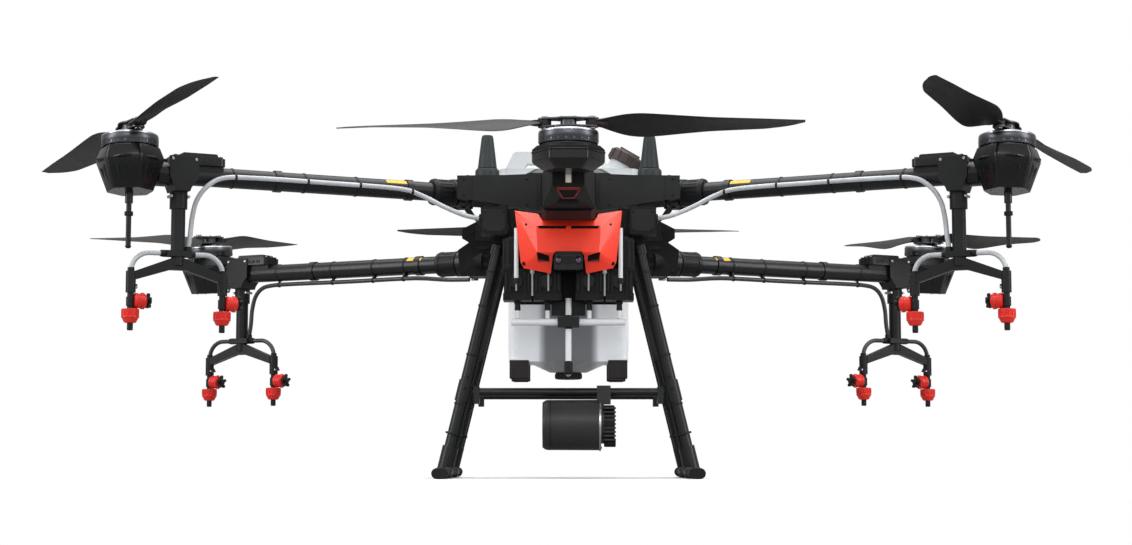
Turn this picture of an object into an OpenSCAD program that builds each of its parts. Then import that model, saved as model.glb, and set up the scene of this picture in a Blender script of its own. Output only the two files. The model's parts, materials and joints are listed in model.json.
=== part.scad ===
// Six-rotor agricultural spray drone with folding arms and a lift-out tank.
// Millimetres, +Z up. The nose points along -Y and the skids stand on z = 0.

/* [Rotors] */
// Distance from the airframe's centre to each side motor
side_reach = 941.5; // [936:0.5:946]
// Distance from the airframe's centre to the nose and tail motors
end_reach = 687.5; // [684:0.5:692]
// Angle between a side arm and the X axis, in degrees
arm_angle = 27.45; // [27:0.05:28]
// Sideways tilt of the four side motors, in degrees
motor_tilt = 4.7; // [0:0.1:5.5]
// Diameter of the motor bell
bell_d = 108; // [104:1:112]
// Height of the motor bell
bell_h = 25; // [22:1:28]
// Radius swept by the blade tips
blade_reach = 419; // [405:1:422]
// Distance from the motor axis to each blade's folding bolt
bolt_reach = 42; // [40:1:44]
// Diameter of the blade's folding bolt
bolt_d = 8; // [6:1:9]

/* [Side arms] */
// Outer diameter of the arm tube
tube_d = 38; // [36:1:40]
// Height of the front pair of arm tubes
front_tube_z = 583; // [580:1:586]
// Height of the rear pair of arm tubes
rear_tube_z = 461; // [458:1:464]
// Distance from the airframe's centre to the folding joint's face
joint_reach = 250; // [248:1:252]
// Distance from the tube axis to the folding pin
pin_offset = 38; // [37:1:40]
// Diameter of the folding pins
pin_d = 10; // [8:1:12]
// Radial running clearance of every pin, bolt and sliding collar
running_gap = 0.05; // [0.02:0.01:0.1]

/* [Spray booms] */
// Distance from the airframe's centre to the spray boom
boom_reach = 845; // [835:1:850]
// Distance from the boom to each of its two nozzles
nozzle_spread = 90; // [85:1:95]
// Outer diameter of the spray hose
hose_d = 9.5; // [8:0.5:10]

/* [Tank and battery] */
// Width of the tank below the frame rails
tank_w = 248; // [240:1:248]
// Height of the underside of the tank
tank_bottom_z = 240; // [236:1:244]
// Height of the top of the tank
tank_top_z = 643; // [640:1:648]
// Diameter of the tank's filler neck
neck_d = 58; // [54:1:60]
// Tilt of the filler neck from vertical, in degrees
neck_tilt = 30; // [20:1:32]
// Height of the battery
battery_h = 230; // [200:5:235]

/* [Landing gear] */
// Diameter of the landing legs
leg_d = 26; // [24:1:28]
// Length of each skid between its rubber shoes
skid_len = 470; // [460:5:480]
// Distance from the middle of the airframe to each skid
skid_x = 252; // [250:1:254]
// Diameter of the cross tubes
cross_d = 17; // [15:1:19]
// Height of the cross tubes
cross_z = 175; // [170:1:180]

/* [Hidden] */
$fn = 48;
// The resting blades reach further back than forward, so the airframe's
// centre stands this far in front of the origin.
centre_y = -18;

ARM_NAMES = ["fl", "fr", "rl", "rr"];
ROTOR_NAMES = ["nose", "tail", "fl", "fr", "rl", "rr"];

// Each arm and rotor: side (-1 left, 0 middle, 1 right) and end (-1 front, 1 rear).
function side_of(name) = name == "fl" || name == "rl" ? -1
    : name == "fr" || name == "rr" ? 1 : 0;
function end_of(name) = name == "fl" || name == "fr" || name == "nose" ? -1 : 1;

// Each rotor at rest: heading of blade A, outward lag of both blades, spin (1 = anticlockwise).
function rest_of(name) = name == "nose" ? [-4, 0, -1]
    : name == "tail" ? [0, 0, 1]
    : name == "fl" ? [-57, -2.3, 1]
    : name == "fr" ? [237, 2.3, 1]
    : name == "rl" ? [68, 2.8, -1]
    : [112, -2.8, -1];

// Heights of the parts stacked on a motor, from the underside of its bell.
plate_z = bell_h + 6.5;
plate_h = 3;
blade_z = plate_z + plate_h + 5.5;
blade_root_h = 10;
motor_rise = 45;
nose_motor_z = 595;
tail_drop = 35;

// Frame: rails beside the tank carry the legs, the beam and the rear arms.
rail_z = 478;
rail_h = 25;
rail_x = 126;
rail_w = 26;
beam_front = -180;
beam_back = -70;
socket_d = 52;
flange_d = 57;
flange_t = 12;
knuckle_d = 22;
knuckle_h = 41;
lug_h = 8;
joint_gap = 0.3;
// Bolted neighbours in one body stand this far apart.
join_gap = 0.1;
end_pin_y = 310;
end_pin_z = 525;
end_knuckle_w = 67;

// Arm fittings, as distances along the arm or heights from the tube's axis.
collar_start = joint_reach + flange_t + 2;
collar_len = 52;
tube_end = 880;
pod_top_drop = 2;
pod_wide_drop = 22;
pod_low_drop = 84;
esc_start = 758;
esc_len = 108;
esc_w = 50;
clamp_half = 22;
clamp_low = -33;
sleeve_low = -66;
tee_top = -147;
tee_h = 11;
socket_top = -189;
socket_low = -230;
cap_top = -261;
cap_low = -288;
tip_low = -302;

// Tank outline, front to back.
tank_front = -64;
tank_back = 112;
shoulder_z = rail_z + rail_h + 0.3;
shoulder_w = 292;
neck_x = 104;
neck_y = 40;
neck_len = 44;
cap_skirt_z = 24;
channel_half_w = 60;
channel_depth = 12;
battery_front = 120;
battery_back = 240;
tray_z = 322;
tray_t = 6;

// Pump heads, measured from the middle, and the pipe that feeds them.
PUMPS = [42, 102];
pump_motor_x = 112;
pipe_y = -204;
pipe_z = 312;

// Landing gear: each leg leans inward as it rises.
leg_y = 110;
leg_lean = atan(0.2414);
skid_h = 18;
skid_w = 29;
shoe_h = 21;
shoe_w = 33;
shoe_len = 44;
skid_lift = 1.5;
function leg_x(z) = skid_x + 3.7 - tan(leg_lean) * z;

function tube_z(name) = end_of(name) < 0 ? front_tube_z : rear_tube_z;
function motor_base(name) = side_of(name) == 0
    ? [0, end_of(name) * end_reach, nose_motor_z - (end_of(name) > 0 ? tail_drop : 0)]
    : [side_of(name) * side_reach * cos(arm_angle),
       end_of(name) * side_reach * sin(arm_angle), tube_z(name) + motor_rise];

// Puts a child drawn along +X, from the airframe's centre, onto a side arm.
module on_arm(name) {
    translate([0, 0, tube_z(name)])
        mirror([side_of(name) < 0 ? 1 : 0, 0, 0])
            rotate([0, 0, end_of(name) * arm_angle])
                children();
}

// Puts a child drawn round the Z axis onto a motor, tilted as the motor is.
module on_motor(name) {
    translate(motor_base(name))
        rotate(a = side_of(name) * end_of(name) * motor_tilt,
               v = [side_of(name) * cos(arm_angle), end_of(name) * sin(arm_angle), 0])
            children();
}

// Puts a child drawn along +Y onto the nose or the tail.
module on_end(name) {
    translate([0, 0, end_of(name) > 0 ? -tail_drop : 0])
        rotate([0, 0, end_of(name) > 0 ? 0 : 180])
            children();
}

module both_sides() {
    children();
    mirror([1, 0, 0]) children();
}

// A box given by its lowest and highest corners.
module block(low, high) {
    translate(low) cube(high - low);
}

module rod_x(d, start, end) {
    translate([start, 0, 0]) rotate([0, 90, 0]) cylinder(d = d, h = end - start);
}

module rod_y(d, start, end) {
    translate([0, end, 0]) rotate([90, 0, 0]) cylinder(d = d, h = end - start);
}

// A flat outline in X and Z, extruded along Y.
module slab(start, end) {
    translate([0, end, 0]) rotate([90, 0, 0]) linear_extrude(end - start) children();
}

// A closed skin through a list of rings with the same number of points.
module loft(rings) {
    n = len(rings[0]);
    last = (len(rings) - 1) * n;
    sides = [for (i = [0 : len(rings) - 2], k = [0 : n - 1], half = [0, 1])
        let (a = i * n + k, b = i * n + (k + 1) % n)
            half == 0 ? [a, b + n, b] : [a, a + n, b + n]];
    low_end = [[for (k = [0 : n - 1]) k]];
    high_end = [[for (k = [n - 1 : -1 : 0]) last + k]];
    polyhedron(points = [for (ring = rings) for (p = ring) p],
               faces = concat(sides, low_end, high_end));
}

// ---- Blades -------------------------------------------------------------

BLADE_STATIONS = [54, 66, 82, 104, 132, 170, 220, 280, 350, 385, 408];
function blade_chord(r) = lookup(r, [[54, 32], [66, 44], [82, 57], [104, 68], [132, 74],
                                     [170, 73], [220, 67], [350, 55], [385, 42], [408, 27],
                                     [422, 11]]);
// Leading edge: it runs straight on to the tip, while the trailing edge is cut back.
function blade_lead(r) = lookup(r, [[54, 11], [82, 22], [104, 26], [132, 28.5], [170, 27.7],
                                    [280, 23], [422, 17]]);
function blade_pitch(r) = lookup(r, [[54, 15], [104, 25], [132, 26], [250, 14], [422, 7]]);
function blade_thickness(r) = lookup(r, [[54, 10], [104, 8.5], [220, 5.5], [422, 2.2]]);

// One blade section: thin, cambered, leading edge on the +Y side and raised.
function blade_ring(r, spin) = [for (k = [0 : 11])
    let (turn = 30 * k, c = blade_chord(r), p = blade_pitch(r),
         y = blade_lead(r) - c * (0.5 - 0.5 * cos(turn)),
         z = 0.5 * blade_thickness(r) * sin(turn) + 0.035 * c * pow(sin(turn), 2),
         droop = 0.013 * (r - 54))
        [r, spin * (y * cos(p) - z * sin(p)), y * sin(p) + z * cos(p) - droop]];

// Rings run the other way round for a clockwise blade, so the skin still faces out.
function flipped(ring) = [for (k = [len(ring) - 1 : -1 : 0]) ring[k]];

module blade(name, letter) {
    rest = rest_of(name);
    turn = letter == "a" ? 0 : 180;
    lag = letter == "a" ? rest[1] : -rest[1];
    rings = [for (r = concat(BLADE_STATIONS, [blade_reach])) blade_ring(r, rest[2])];
    color("dimgray")
        on_motor(name) translate([0, 0, blade_z]) rotate([0, 0, rest[0] + turn])
            translate([bolt_reach, 0, 0]) rotate([0, 0, lag]) translate([-bolt_reach, 0, 0])
                difference() {
                    union() {
                        loft(rest[2] > 0 ? rings : [for (ring = rings) flipped(ring)]);
                        translate([bolt_reach, 0, -blade_root_h / 2])
                            cylinder(d = 23, h = blade_root_h);
                        block([bolt_reach, -8, -4.5], [60, 8, 4]);
                    }
                    translate([bolt_reach, 0, -20])
                        cylinder(d = bolt_d + 2 * running_gap, h = 40);
                }
}

// ---- Motors -------------------------------------------------------------

module hub_plate() {
    linear_extrude(plate_h) {
        circle(r = 25);
        square([2 * bolt_reach, 24], center = true);
        for (x = [-bolt_reach, bolt_reach]) translate([x, 0]) circle(r = 12);
    }
}

module rotor_hub(name) {
    r = bell_d / 2;
    color("darkslategray") on_motor(name) {
        rotate_extrude() polygon([[0, 0.5], [r - 6, 0.5], [r - 1, 3], [r - 1, 9], [r, 10],
                                  [r, bell_h - 4], [r - 3, bell_h], [r - 12, bell_h],
                                  [r - 15, bell_h - 2], [0, bell_h - 2]]);
        translate([0, 0, bell_h - 2]) cylinder(r = 15, h = plate_z + plate_h - bell_h + 2);
        translate([0, 0, bell_h - 2]) cylinder(r = 22, h = plate_z - bell_h + 2);
        rotate([0, 0, rest_of(name)[0]]) {
            translate([0, 0, plate_z]) hub_plate();
            translate([0, 0, blade_z + 5.5]) hub_plate();
            translate([0, 0, plate_z]) cylinder(r = 14, h = 14);
            for (x = [-bolt_reach, bolt_reach]) translate([x, 0, plate_z - 3]) {
                cylinder(d = bolt_d, h = 23);
                cylinder(d = 14, h = 3);
                translate([0, 0, 20]) cylinder(d = 13, h = 3.5);
            }
        }
    }
}

// Rounded six-sided slice of a motor pod.
module pod_slice(r, h) {
    linear_extrude(h) polygon([for (corner = [0 : 60 : 300], turn = [-30 : 15 : 30])
        (r - 10) * [cos(corner), sin(corner)] + 10 * [cos(corner + turn), sin(corner + turn)]]);
}

module motor_pod(name) {
    color("black") {
        difference() {
            union() {
                on_motor(name) hull() {
                    translate([0, 0, -pod_top_drop - 5]) pod_slice(57, 5);
                    translate([0, 0, -pod_wide_drop - 6]) pod_slice(64, 8);
                    translate([0, 0, -pod_low_drop]) pod_slice(44, 8);
                }
                on_arm(name) rod_x(48, boom_reach + clamp_half + 1, 890);
            }
            on_arm(name) rod_x(tube_d + 2 * running_gap, 800, tube_end + 0.2);
        }
        on_motor(name) translate([0, 0, -pod_top_drop]) cylinder(r = 48, h = pod_top_drop + 0.2);
        on_arm(name) speed_controller();
        if (end_of(name) < 0) on_arm(name) translate([side_reach, 0, 0]) {
            translate([0, 0, -143]) cylinder(d = 10, h = 103);
            translate([0, 0, -60]) cylinder(d = 15, h = 22);
        }
    }
}

// Speed controller: a finned box that sits on top of the arm tube.
module speed_controller() {
    low = tube_d / 2 + 0.1;
    translate([esc_start + esc_len / 2, 0, low]) {
        linear_extrude(15) rounded_plan(esc_len, -esc_w / 2, esc_w / 2, 12);
        linear_extrude(18) rounded_plan(esc_len - 8, 4 - esc_w / 2, esc_w / 2 - 4, 9);
    }
    for (k = [0 : 6])
        block([esc_start + 16, -20 + 6 * k, low + 17],
              [esc_start + esc_len - 22, -17 + 6 * k, low + 22]);
}

// ---- Side arms ----------------------------------------------------------

module arm_tube(name) {
    face = joint_reach + joint_gap;
    color([0.12, 0.12, 0.13]) on_arm(name) difference() {
        union() {
            rod_x(tube_d, face, tube_end);
            rod_x(flange_d, face, face + flange_t);
            translate([joint_reach, pin_offset, -knuckle_h / 2])
                cylinder(d = knuckle_d, h = knuckle_h);
            block([face, 15, -knuckle_h / 2], [face + flange_t - 1, pin_offset, knuckle_h / 2]);
            for (x = [360, 640]) rod_x(tube_d + 5, x, x + 14);
        }
        translate([joint_reach, pin_offset, -40]) cylinder(d = pin_d + 2 * running_gap, h = 80);
    }
}

// The screw sleeve that locks the folding joint slides along the tube.
module lock_collar(name) {
    color([0.16, 0.16, 0.17]) on_arm(name) difference() {
        union() {
            rod_x(52, collar_start, collar_start + collar_len);
            rod_x(56, collar_start + 2, collar_start + 8);
            rod_x(55, collar_start + collar_len - 10, collar_start + collar_len - 4);
        }
        rod_x(tube_d + 2 * running_gap, collar_start - 1, collar_start + collar_len + 1);
    }
}

// The fixed half of a side arm's folding joint: a socket and two lugs for the pin.
module arm_socket(name, start) {
    on_arm(name) {
        difference() {
            union() {
                rod_x(socket_d, start, joint_reach);
                for (z = [knuckle_h / 2 + 0.4, -knuckle_h / 2 - 0.4 - lug_h])
                    translate([0, 0, z]) linear_extrude(lug_h) {
                        translate([joint_reach, pin_offset]) circle(d = knuckle_d);
                        polygon([[joint_reach - 30, 4], [joint_reach - 4, 4],
                                 [joint_reach - 1, pin_offset - 11],
                                 [joint_reach - 1, pin_offset + 10],
                                 [joint_reach - 30, pin_offset - 8]]);
                    }
            }
            translate([joint_reach, pin_offset, -40])
                cylinder(d = pin_d + 2 * running_gap, h = 80);
        }
    }
}

module arm_pin(name) {
    on_arm(name) translate([joint_reach, pin_offset, 0]) {
        translate([0, 0, -34]) cylinder(d = pin_d, h = 68);
        for (z = [-34, 30]) translate([0, 0, z]) cylinder(d = 16, h = 4);
    }
}

module end_pin(name) {
    on_end(name) translate([0, end_pin_y, end_pin_z]) {
        rod_x(pin_d, -50, 50);
        for (x = [-50, 47]) rod_x(15, x, x + 3);
    }
}

module fold_pins() {
    color("silver") {
        for (name = ARM_NAMES) arm_pin(name);
        for (name = ["nose", "tail"]) end_pin(name);
    }
}

// ---- Spray booms --------------------------------------------------------

module spray_boom(name) {
    color([0.17, 0.17, 0.18]) on_arm(name) translate([boom_reach, 0, 0]) {
        difference() {
            slab(-27, 27) polygon([[-clamp_half, 18], [clamp_half, 18], [clamp_half, -14],
                                   [15, clamp_low], [-15, clamp_low], [-clamp_half, -14]]);
            rod_x(tube_d + 2 * running_gap, -40, 40);
        }
        translate([0, 0, sleeve_low]) cylinder(d = 34, h = clamp_low - sleeve_low);
        translate([0, 0, tee_top]) cylinder(d = 27, h = sleeve_low - tee_top);
        translate([0, 0, -175]) cylinder(d = 25, h = 28);
        block([-24, -15, tee_top - tee_h], [24, 15, tee_top]);
        translate([0, 0, tee_top - tee_h / 2]) rod_x(14, -30, 30);
        slab(-8, 8) polygon([[-84, -206], [-84, socket_top], [-12, -161], [12, -161],
                             [84, socket_top], [84, -206], [14, -184], [-14, -184]]);
        for (x = [-nozzle_spread, nozzle_spread]) translate([x, 0, socket_low]) {
            cylinder(d = 19, h = socket_top - socket_low);
            translate([-12, 0, 12]) rod_x(9, 0, 12);
        }
    }
}

// A nozzle: stem, cap and tip below, with its valve body and star knob facing inward.
module nozzle() {
    valve_z = (socket_low + cap_top) / 2;
    translate([0, 0, cap_top]) cylinder(d = 12, h = socket_low - cap_top);
    rotate_extrude() polygon([[0, tip_low], [5.7, tip_low], [5.7, cap_low], [11, cap_low],
                              [15.5, cap_low + 9], [17, cap_low + 10], [17, cap_low + 13],
                              [15.5, cap_low + 14], [16.5, cap_top], [0, cap_top]]);
    translate([0, 0, valve_z]) rotate([0, -90, 0]) rotate_extrude()
        polygon([[0, 0], [14, 6.5], [15, 9], [15, 25], [13, 28.5], [7, 29], [7, 32], [0, 32]]);
    translate([-40, 0, valve_z]) rotate([0, 90, 0]) {
        cylinder(d = 10, h = 8);
        for (k = [0 : 4]) rotate([0, 0, 72 * k]) block([0, -2.5, 3], [15, 2.5, 9]);
    }
}

module nozzle_set(name) {
    color("red") on_arm(name)
        for (x = [-nozzle_spread, nozzle_spread]) translate([boom_reach + x, 0, 0]) nozzle();
}

// ---- Hoses --------------------------------------------------------------

// Hose centre lines in the arm's own frame: along the arm, towards the tail, up.
FRONT_HOSE = [[246, -84, -60], [275, -74, -54], [310, -50, -36], [350, -32, -14],
              [400, -27, -2], [550, -27, 0], [700, -27, 0], [765, -27, -4], [796, -22, -22],
              [812, -10, -48], [818, -2, -80], [821, 0, -115], [825, 0, -144.5]];
REAR_HOSE = [[215, -46, -40], [270, -44, -38], [310, -34, -34], [350, -22, -30],
             [400, -14, -28], [550, -8, -28], [700, -4, -27], [760, -2, -28], [790, 0, -34],
             [808, 0, -52], [817, 0, -82], [820, 0, -115], [825, 0, -144.5]];

function between(a, b, c, d, t) = 0.5 * (2 * b + (c - a) * t
    + (2 * a - 5 * b + 4 * c - d) * pow(t, 2) + (3 * b - a - 3 * c + d) * pow(t, 3));
// The points of a route, with one more point halfway along each of its spans.
function smoothed(route) = let (last = len(route) - 1)
    [for (i = [0 : last]) for (t = i < last && i % 2 == 0 ? [0, 0.5] : [0])
        between(route[max(i - 1, 0)], route[i], route[min(i + 1, last)],
                route[min(i + 2, last)], t)];
function unit(v) = v / norm(v);
// A ring of eight points round point i of a path, square to the path there.
function hose_ring(path, i, d) = let (
        last = len(path) - 1,
        along = unit(path[min(i + 1, last)] - path[max(i - 1, 0)]),
        u = unit(cross(along, [0, 1, 0])),
        v = cross(along, u))
    [for (k = [0 : 7]) path[i] + d / 2 * (cos(45 * k) * u + sin(45 * k) * v)];

module spray_hose(name) {
    path = smoothed(end_of(name) < 0 ? FRONT_HOSE : REAR_HOSE);
    bend = tee_top - tee_h / 2 - socket_top - 0.1;
    color(end_of(name) < 0 ? "gainsboro" : "black") on_arm(name) {
        loft([for (i = [0 : len(path) - 1]) hose_ring(path, i, hose_d)]);
        translate([boom_reach, 0, tee_top - tee_h / 2]) both_sides() {
            rod_x(hose_d, 30.1, nozzle_spread - bend);
            translate([nozzle_spread - bend, 0, -bend]) rotate([90, 0, 0])
                rotate_extrude(angle = 90) translate([bend, 0]) circle(d = hose_d);
        }
    }
}

// ---- Airframe -----------------------------------------------------------

// The space that a folding arm needs beyond its joint's face.
module arm_sweep(name) {
    on_arm(name) block([joint_reach - 1, -36, -60], [joint_reach + 80, 25, 100]);
}

module front_beam() {
    color([0.1, 0.1, 0.11]) {
        difference() {
            slab(beam_front, beam_back) polygon([[-226, 566], [-60, 541], [60, 541], [226, 566],
                                                 [226, 612], [130, 612.9], [60, 616],
                                                 [-60, 616], [-130, 612.9], [-226, 612]]);
            for (name = ["fl", "fr"]) arm_sweep(name);
        }
        for (name = ["fl", "fr"]) intersection() {
            arm_socket(name, 150);
            arm_socket_zone(name);
        }
        end_bracket("nose", -beam_front + join_gap);
    }
}

// Only the part of a socket that stands proud of the beam.
module arm_socket_zone(name) {
    on_arm(name) difference() {
        block([200, -60, -60], [300, 80, 60]);
        rotate([0, 0, -end_of(name) * arm_angle])
            block([-300, beam_front, -17], [226, beam_back, 24]);
    }
}

// The fixed half of the nose or tail arm's hinge.
module end_bracket(name, back) {
    on_end(name) difference() {
        union() {
            block([-52, back, 512], [52, 297, 600]);
            for (x = [-45, end_knuckle_w / 2 + 0.5])
                translate([x, 0, 0]) rotate([90, 0, 90]) linear_extrude(45.5 - end_knuckle_w / 2 - 1) {
                    translate([end_pin_y, end_pin_z]) circle(d = knuckle_d);
                    translate([290, end_pin_z - 11]) square([20, 22]);
                }
        }
        translate([0, end_pin_y, end_pin_z]) rod_x(pin_d + 2 * running_gap, -60, 60);
    }
}

module top_cover() {
    color([0.05, 0.05, 0.06]) difference() {
        hull() {
            translate([0, 0, 616.2]) linear_extrude(1)
                for (x = [-72, 72]) for (y = [-165, -88]) translate([x, y]) circle(r = 14, $fn = 24);
            translate([0, 0, 625]) linear_extrude(3)
                for (x = [-58, 58]) for (y = [-152, -98]) translate([x, y]) circle(r = 12, $fn = 24);
        }
        block([-20, -135, 626], [20, -115, 640]);
    }
}

module front_cover() {
    rim = [[-107, 532], [-99, 500], [-95, 428], [-89, 417], [-34, 406], [34, 406], [89, 417],
           [95, 428], [99, 500], [107, 532]];
    face = [[-64, 498], [-61, 446], [61, 446], [64, 498]];
    color("orangered") difference() {
        hull() {
            slab(-242, -238) polygon(rim);
            slab(-270, -268) polygon(face);
        }
        hull() {
            slab(-239, -230) polygon([for (p = rim) [0.96 * p[0], 468 + 0.92 * (p[1] - 468)]]);
            slab(-266, -264) polygon([for (p = face) [0.95 * p[0], p[1]]]);
        }
        slab(-300, -200) polygon([[-108, 545], [-108, 532.5], [-60, 525], [-53, 511.5], [53, 511.5],
                                  [60, 525], [108, 532.5], [108, 545]]);
        slab(-300, -200) polygon([[-36, 400], [-31, 440], [-25, 448], [25, 448], [31, 440],
                                  [36, 400]]);
        both_sides() {
            slab(-300, -250) polygon([[5, 493], [58, 493], [61, 499], [5, 499]]);
            slab(-300, -240) polygon([[38, 429], [61, 433], [63, 447], [38, 440]]);
            for (p = [[84, 503], [88, 426]])
                translate([p[0], 0, p[1]]) rod_y(5, -300, -200);
        }
    }
}

module lamp_module() {
    color([0.08, 0.08, 0.09]) {
        difference() {
            slab(-284, -239) polygon([[-29, 412], [-27, 440], [-22, 446], [22, 446], [27, 440],
                                      [29, 412], [20, 410], [-20, 410]]);
            for (x = [-20, 20]) translate([x, 0, 429]) rod_y(16, -290, -281);
        }
        for (x = [-20, 20]) translate([x, 0, 429]) rotate([90, 0, 0]) {
            translate([0, 0, 281]) cylinder(d = 15, h = 2);
        }
    }
}

module spray_pumps() {
    color([0.14, 0.14, 0.15]) both_sides() for (x = PUMPS) translate([x, 0, 0]) {
        block([-27, -229, 366], [27, -176, 418]);
        block([-28.5, -233, 354], [28.5, -174, 368]);
        for (rib = [-18, 12]) block([rib, -234, 368], [rib + 6, -229, 410]);
        translate([0, pipe_y, 337]) cylinder(d = 11, h = 18);
        translate([0, pipe_y, 416]) cylinder(d = 20, h = 6);
    }
    // Each outer pair shares a pump motor, which stands beside the avionics box.
    color([0.1, 0.1, 0.11]) both_sides()
        translate([pump_motor_x, -196, 418 + join_gap]) cylinder(d = 40, h = 62);
}

// White pipes under the pumps, fed from the tank's outlet through a black cross.
module feed_manifold() {
    cross = [[-21, pipe_y - 12, 302], [21, pipe_y + 12, 322]];
    color("black") block(cross[0], cross[1]);
    color("whitesmoke") {
        both_sides() {
            translate([0, pipe_y, pipe_z]) rod_x(14, cross[1][0] + join_gap, 114);
            for (x = PUMPS) translate([x, pipe_y, pipe_z + 7 + join_gap])
                cylinder(d = 9, h = 337 - pipe_z - 7 - 2 * join_gap);
            translate([104, -233.7, 394]) cylinder(d = 9, h = 104);
        }
        translate([0, pipe_y, cross[1][2] + join_gap]) cylinder(d = 12, h = 38);
        translate([0, pipe_y, 222]) cylinder(d = 12, h = cross[0][2] - join_gap - 222);
        translate([0, 0, 222 - 6 - join_gap]) rod_y(12, pipe_y - 6, -34);
    }
}

module position_antennas() {
    color([0.18, 0.19, 0.2]) both_sides() translate([167, -122, 0]) rotate_extrude()
        polygon([[0, 613], [25, 613], [25, 628], [23, 632], [20, 633], [12.5, 696], [11, 702],
                 [9, 703], [0, 703]]);
}

module main_frame() {
    cross_half = rail_x - join_gap;
    color([0.13, 0.13, 0.14]) {
        both_sides() {
            block([rail_x, -148, rail_z], [rail_x + rail_w, 300, rail_z + rail_h]);
            block([rail_x, -148, rail_z + rail_h + join_gap], [rail_x + 24, -100, 542]);
            block([123, -200, 490], [177, -149, 546]);
            translate([0, -185, 523]) rod_x(14, 177 + join_gap, 178.4);
            rear_arm_bracket();
        }
        block([-cross_half, -148, rail_z], [cross_half, -134, rail_z + rail_h]);
        block([-cross_half, 113.5, rail_z], [cross_half, 117.5, rail_z + rail_h]);
        block([-cross_half, 250, 470], [cross_half, 262, 520]);
        block([-100, -172, 350], [100, -166, 536]);
        block([-90, -234, 426], [90, -173, 510]);
        battery_tray();
        for (name = ["rl", "rr"]) intersection() {
            arm_socket(name, 198);
            on_arm(name) block([150, -80, -60], [300, 80, 60]);
        }
        end_bracket("tail", 262 + join_gap);
    }
}

module rear_arm_bracket() {
    difference() {
        union() {
            block([rail_x + rail_w + join_gap, 86, rail_z + 1], [175, 146, rail_z + rail_h]);
            block([166, 86, 430], [205, 138, rail_z + rail_h]);
            slab(78, 86) polygon([[rail_x + rail_w + join_gap, 480], [166, 430], [233, 430],
                                  [238, 486], [214, 503], [229, 512], [229, 532], [196, 549],
                                  [rail_x + rail_w + join_gap, 549]]);
        }
        arm_sweep("rr");
        on_arm("rr") translate([joint_reach, pin_offset, -60]) cylinder(r = 14, h = 120);
    }
}

module battery_tray() {
    block([-100, battery_front - 2, tray_z], [100, battery_back + 4, tray_z + tray_t]);
    both_sides() {
        for (y = [battery_front + 10, battery_back - 20]) {
            block([95, y, tray_z + tray_t + join_gap], [101, y + 16, rail_z + 4]);
            block([101 + join_gap, y, rail_z - 6], [rail_x + 6, y + 16, rail_z - join_gap]);
        }
    }
}

// ---- Nose and tail ------------------------------------------------------

module end_arm(name) {
    on_end(name) {
        difference() {
            union() {
                hull() {
                    block([-53, 322, 512], [53, 330, 570]);
                    block([-44, 322, 503], [44, 330, 570]);
                    block([-52, 470, 512], [52, 475, 574]);
                    block([-42, 470, 503], [42, 475, 574]);
                }
                hull() {
                    block([-50, 475, 508], [50, 476, 574]);
                    block([-29, 600, 531], [29, 640, 578]);
                    block([-26, 600, 529], [26, 636, 533]);
                    block([-9, 600, 508], [9, 618, 516]);
                }
                translate([0, end_reach, 0]) hull() {
                    translate([0, 0, 588]) pod_slice(57, 5);
                    translate([0, 0, 576]) pod_slice(65, 10);
                    translate([0, -8, 566]) pod_slice(50, 6);
                }
                translate([0, end_reach, 0]) hull() {
                    translate([0, -8, 566]) pod_slice(50, 6);
                    translate([0, -24, 552]) pod_slice(30, 6);
                }
                translate([0, end_pin_y, end_pin_z]) rod_x(knuckle_d, -end_knuckle_w / 2,
                                                           end_knuckle_w / 2);
                block([-end_knuckle_w / 2, end_pin_y, end_pin_z - 9],
                      [end_knuckle_w / 2, 325, end_pin_z + 9]);
            }
            translate([0, end_pin_y, end_pin_z]) rod_x(pin_d + 2 * running_gap, -60, 60);
        }
        translate([0, end_reach, 593]) cylinder(r = 48, h = 2.2);
        block([-18, 560, 500], [20, 600, 508]);
    }
}

module nose_arm() {
    color([0.04, 0.04, 0.05]) end_arm("nose");
}

module tail_arm() {
    color([0.04, 0.04, 0.05]) end_arm("tail");
}

// ---- Tank and battery ---------------------------------------------------

// A rectangle with round corners, centred on X and running from front to back along Y.
module rounded_plan(w, front, back, r) {
    translate([-w / 2 + r, front]) square([w - 2 * r, back - front]);
    translate([-w / 2, front + r]) square([w, back - front - 2 * r]);
    for (x = [-w / 2 + r, w / 2 - r]) for (y = [front + r, back - r])
        translate([x, y]) circle(r = r);
}

module neck_frame() {
    translate([neck_x, neck_y, tank_top_z]) rotate([0, neck_tilt, 0]) children();
}

// The tank's outer skin at wall 0, or its cavity at the wall's thickness.
module tank_solid(wall) {
    low = tank_bottom_z + wall;
    front = tank_front + wall;
    back = tank_back - wall;
    translate([0, 0, low]) linear_extrude(tank_top_z - wall - low) difference() {
        rounded_plan(tank_w - 2 * wall, front, back, 22 - wall);
        translate([-channel_half_w - wall, tank_front - 1])
            square([2 * (channel_half_w + wall), channel_depth + wall + 1]);
    }
    translate([0, 0, shoulder_z + wall]) linear_extrude(tank_top_z - shoulder_z - 2 * wall)
        rounded_plan(shoulder_w - 2 * wall, front, back, 22 - wall);
    translate([0, 24, 221 + wall]) cylinder(r1 = 40 - wall, r2 = 84 - wall, h = 20);
}

module spray_tank() {
    color("white") difference() {
        union() {
            tank_solid(0);
            neck_frame() translate([0, 0, -30]) cylinder(d = neck_d, h = neck_len + 30);
            neck_frame() translate([0, 0, -30]) cylinder(d = neck_d + 18, h = 38);
            tank_handle();
            translate([0, 24, 209]) cylinder(d = 53, h = 14);
            both_sides() for (y = [tank_front, tank_back - 38])
                block([83, y, 207], [121, y + 38, tank_bottom_z + 6]);
        }
        tank_solid(4);
        neck_frame() translate([0, 0, -40]) cylinder(d = neck_d - 10, h = 90);
    }
}

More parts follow.
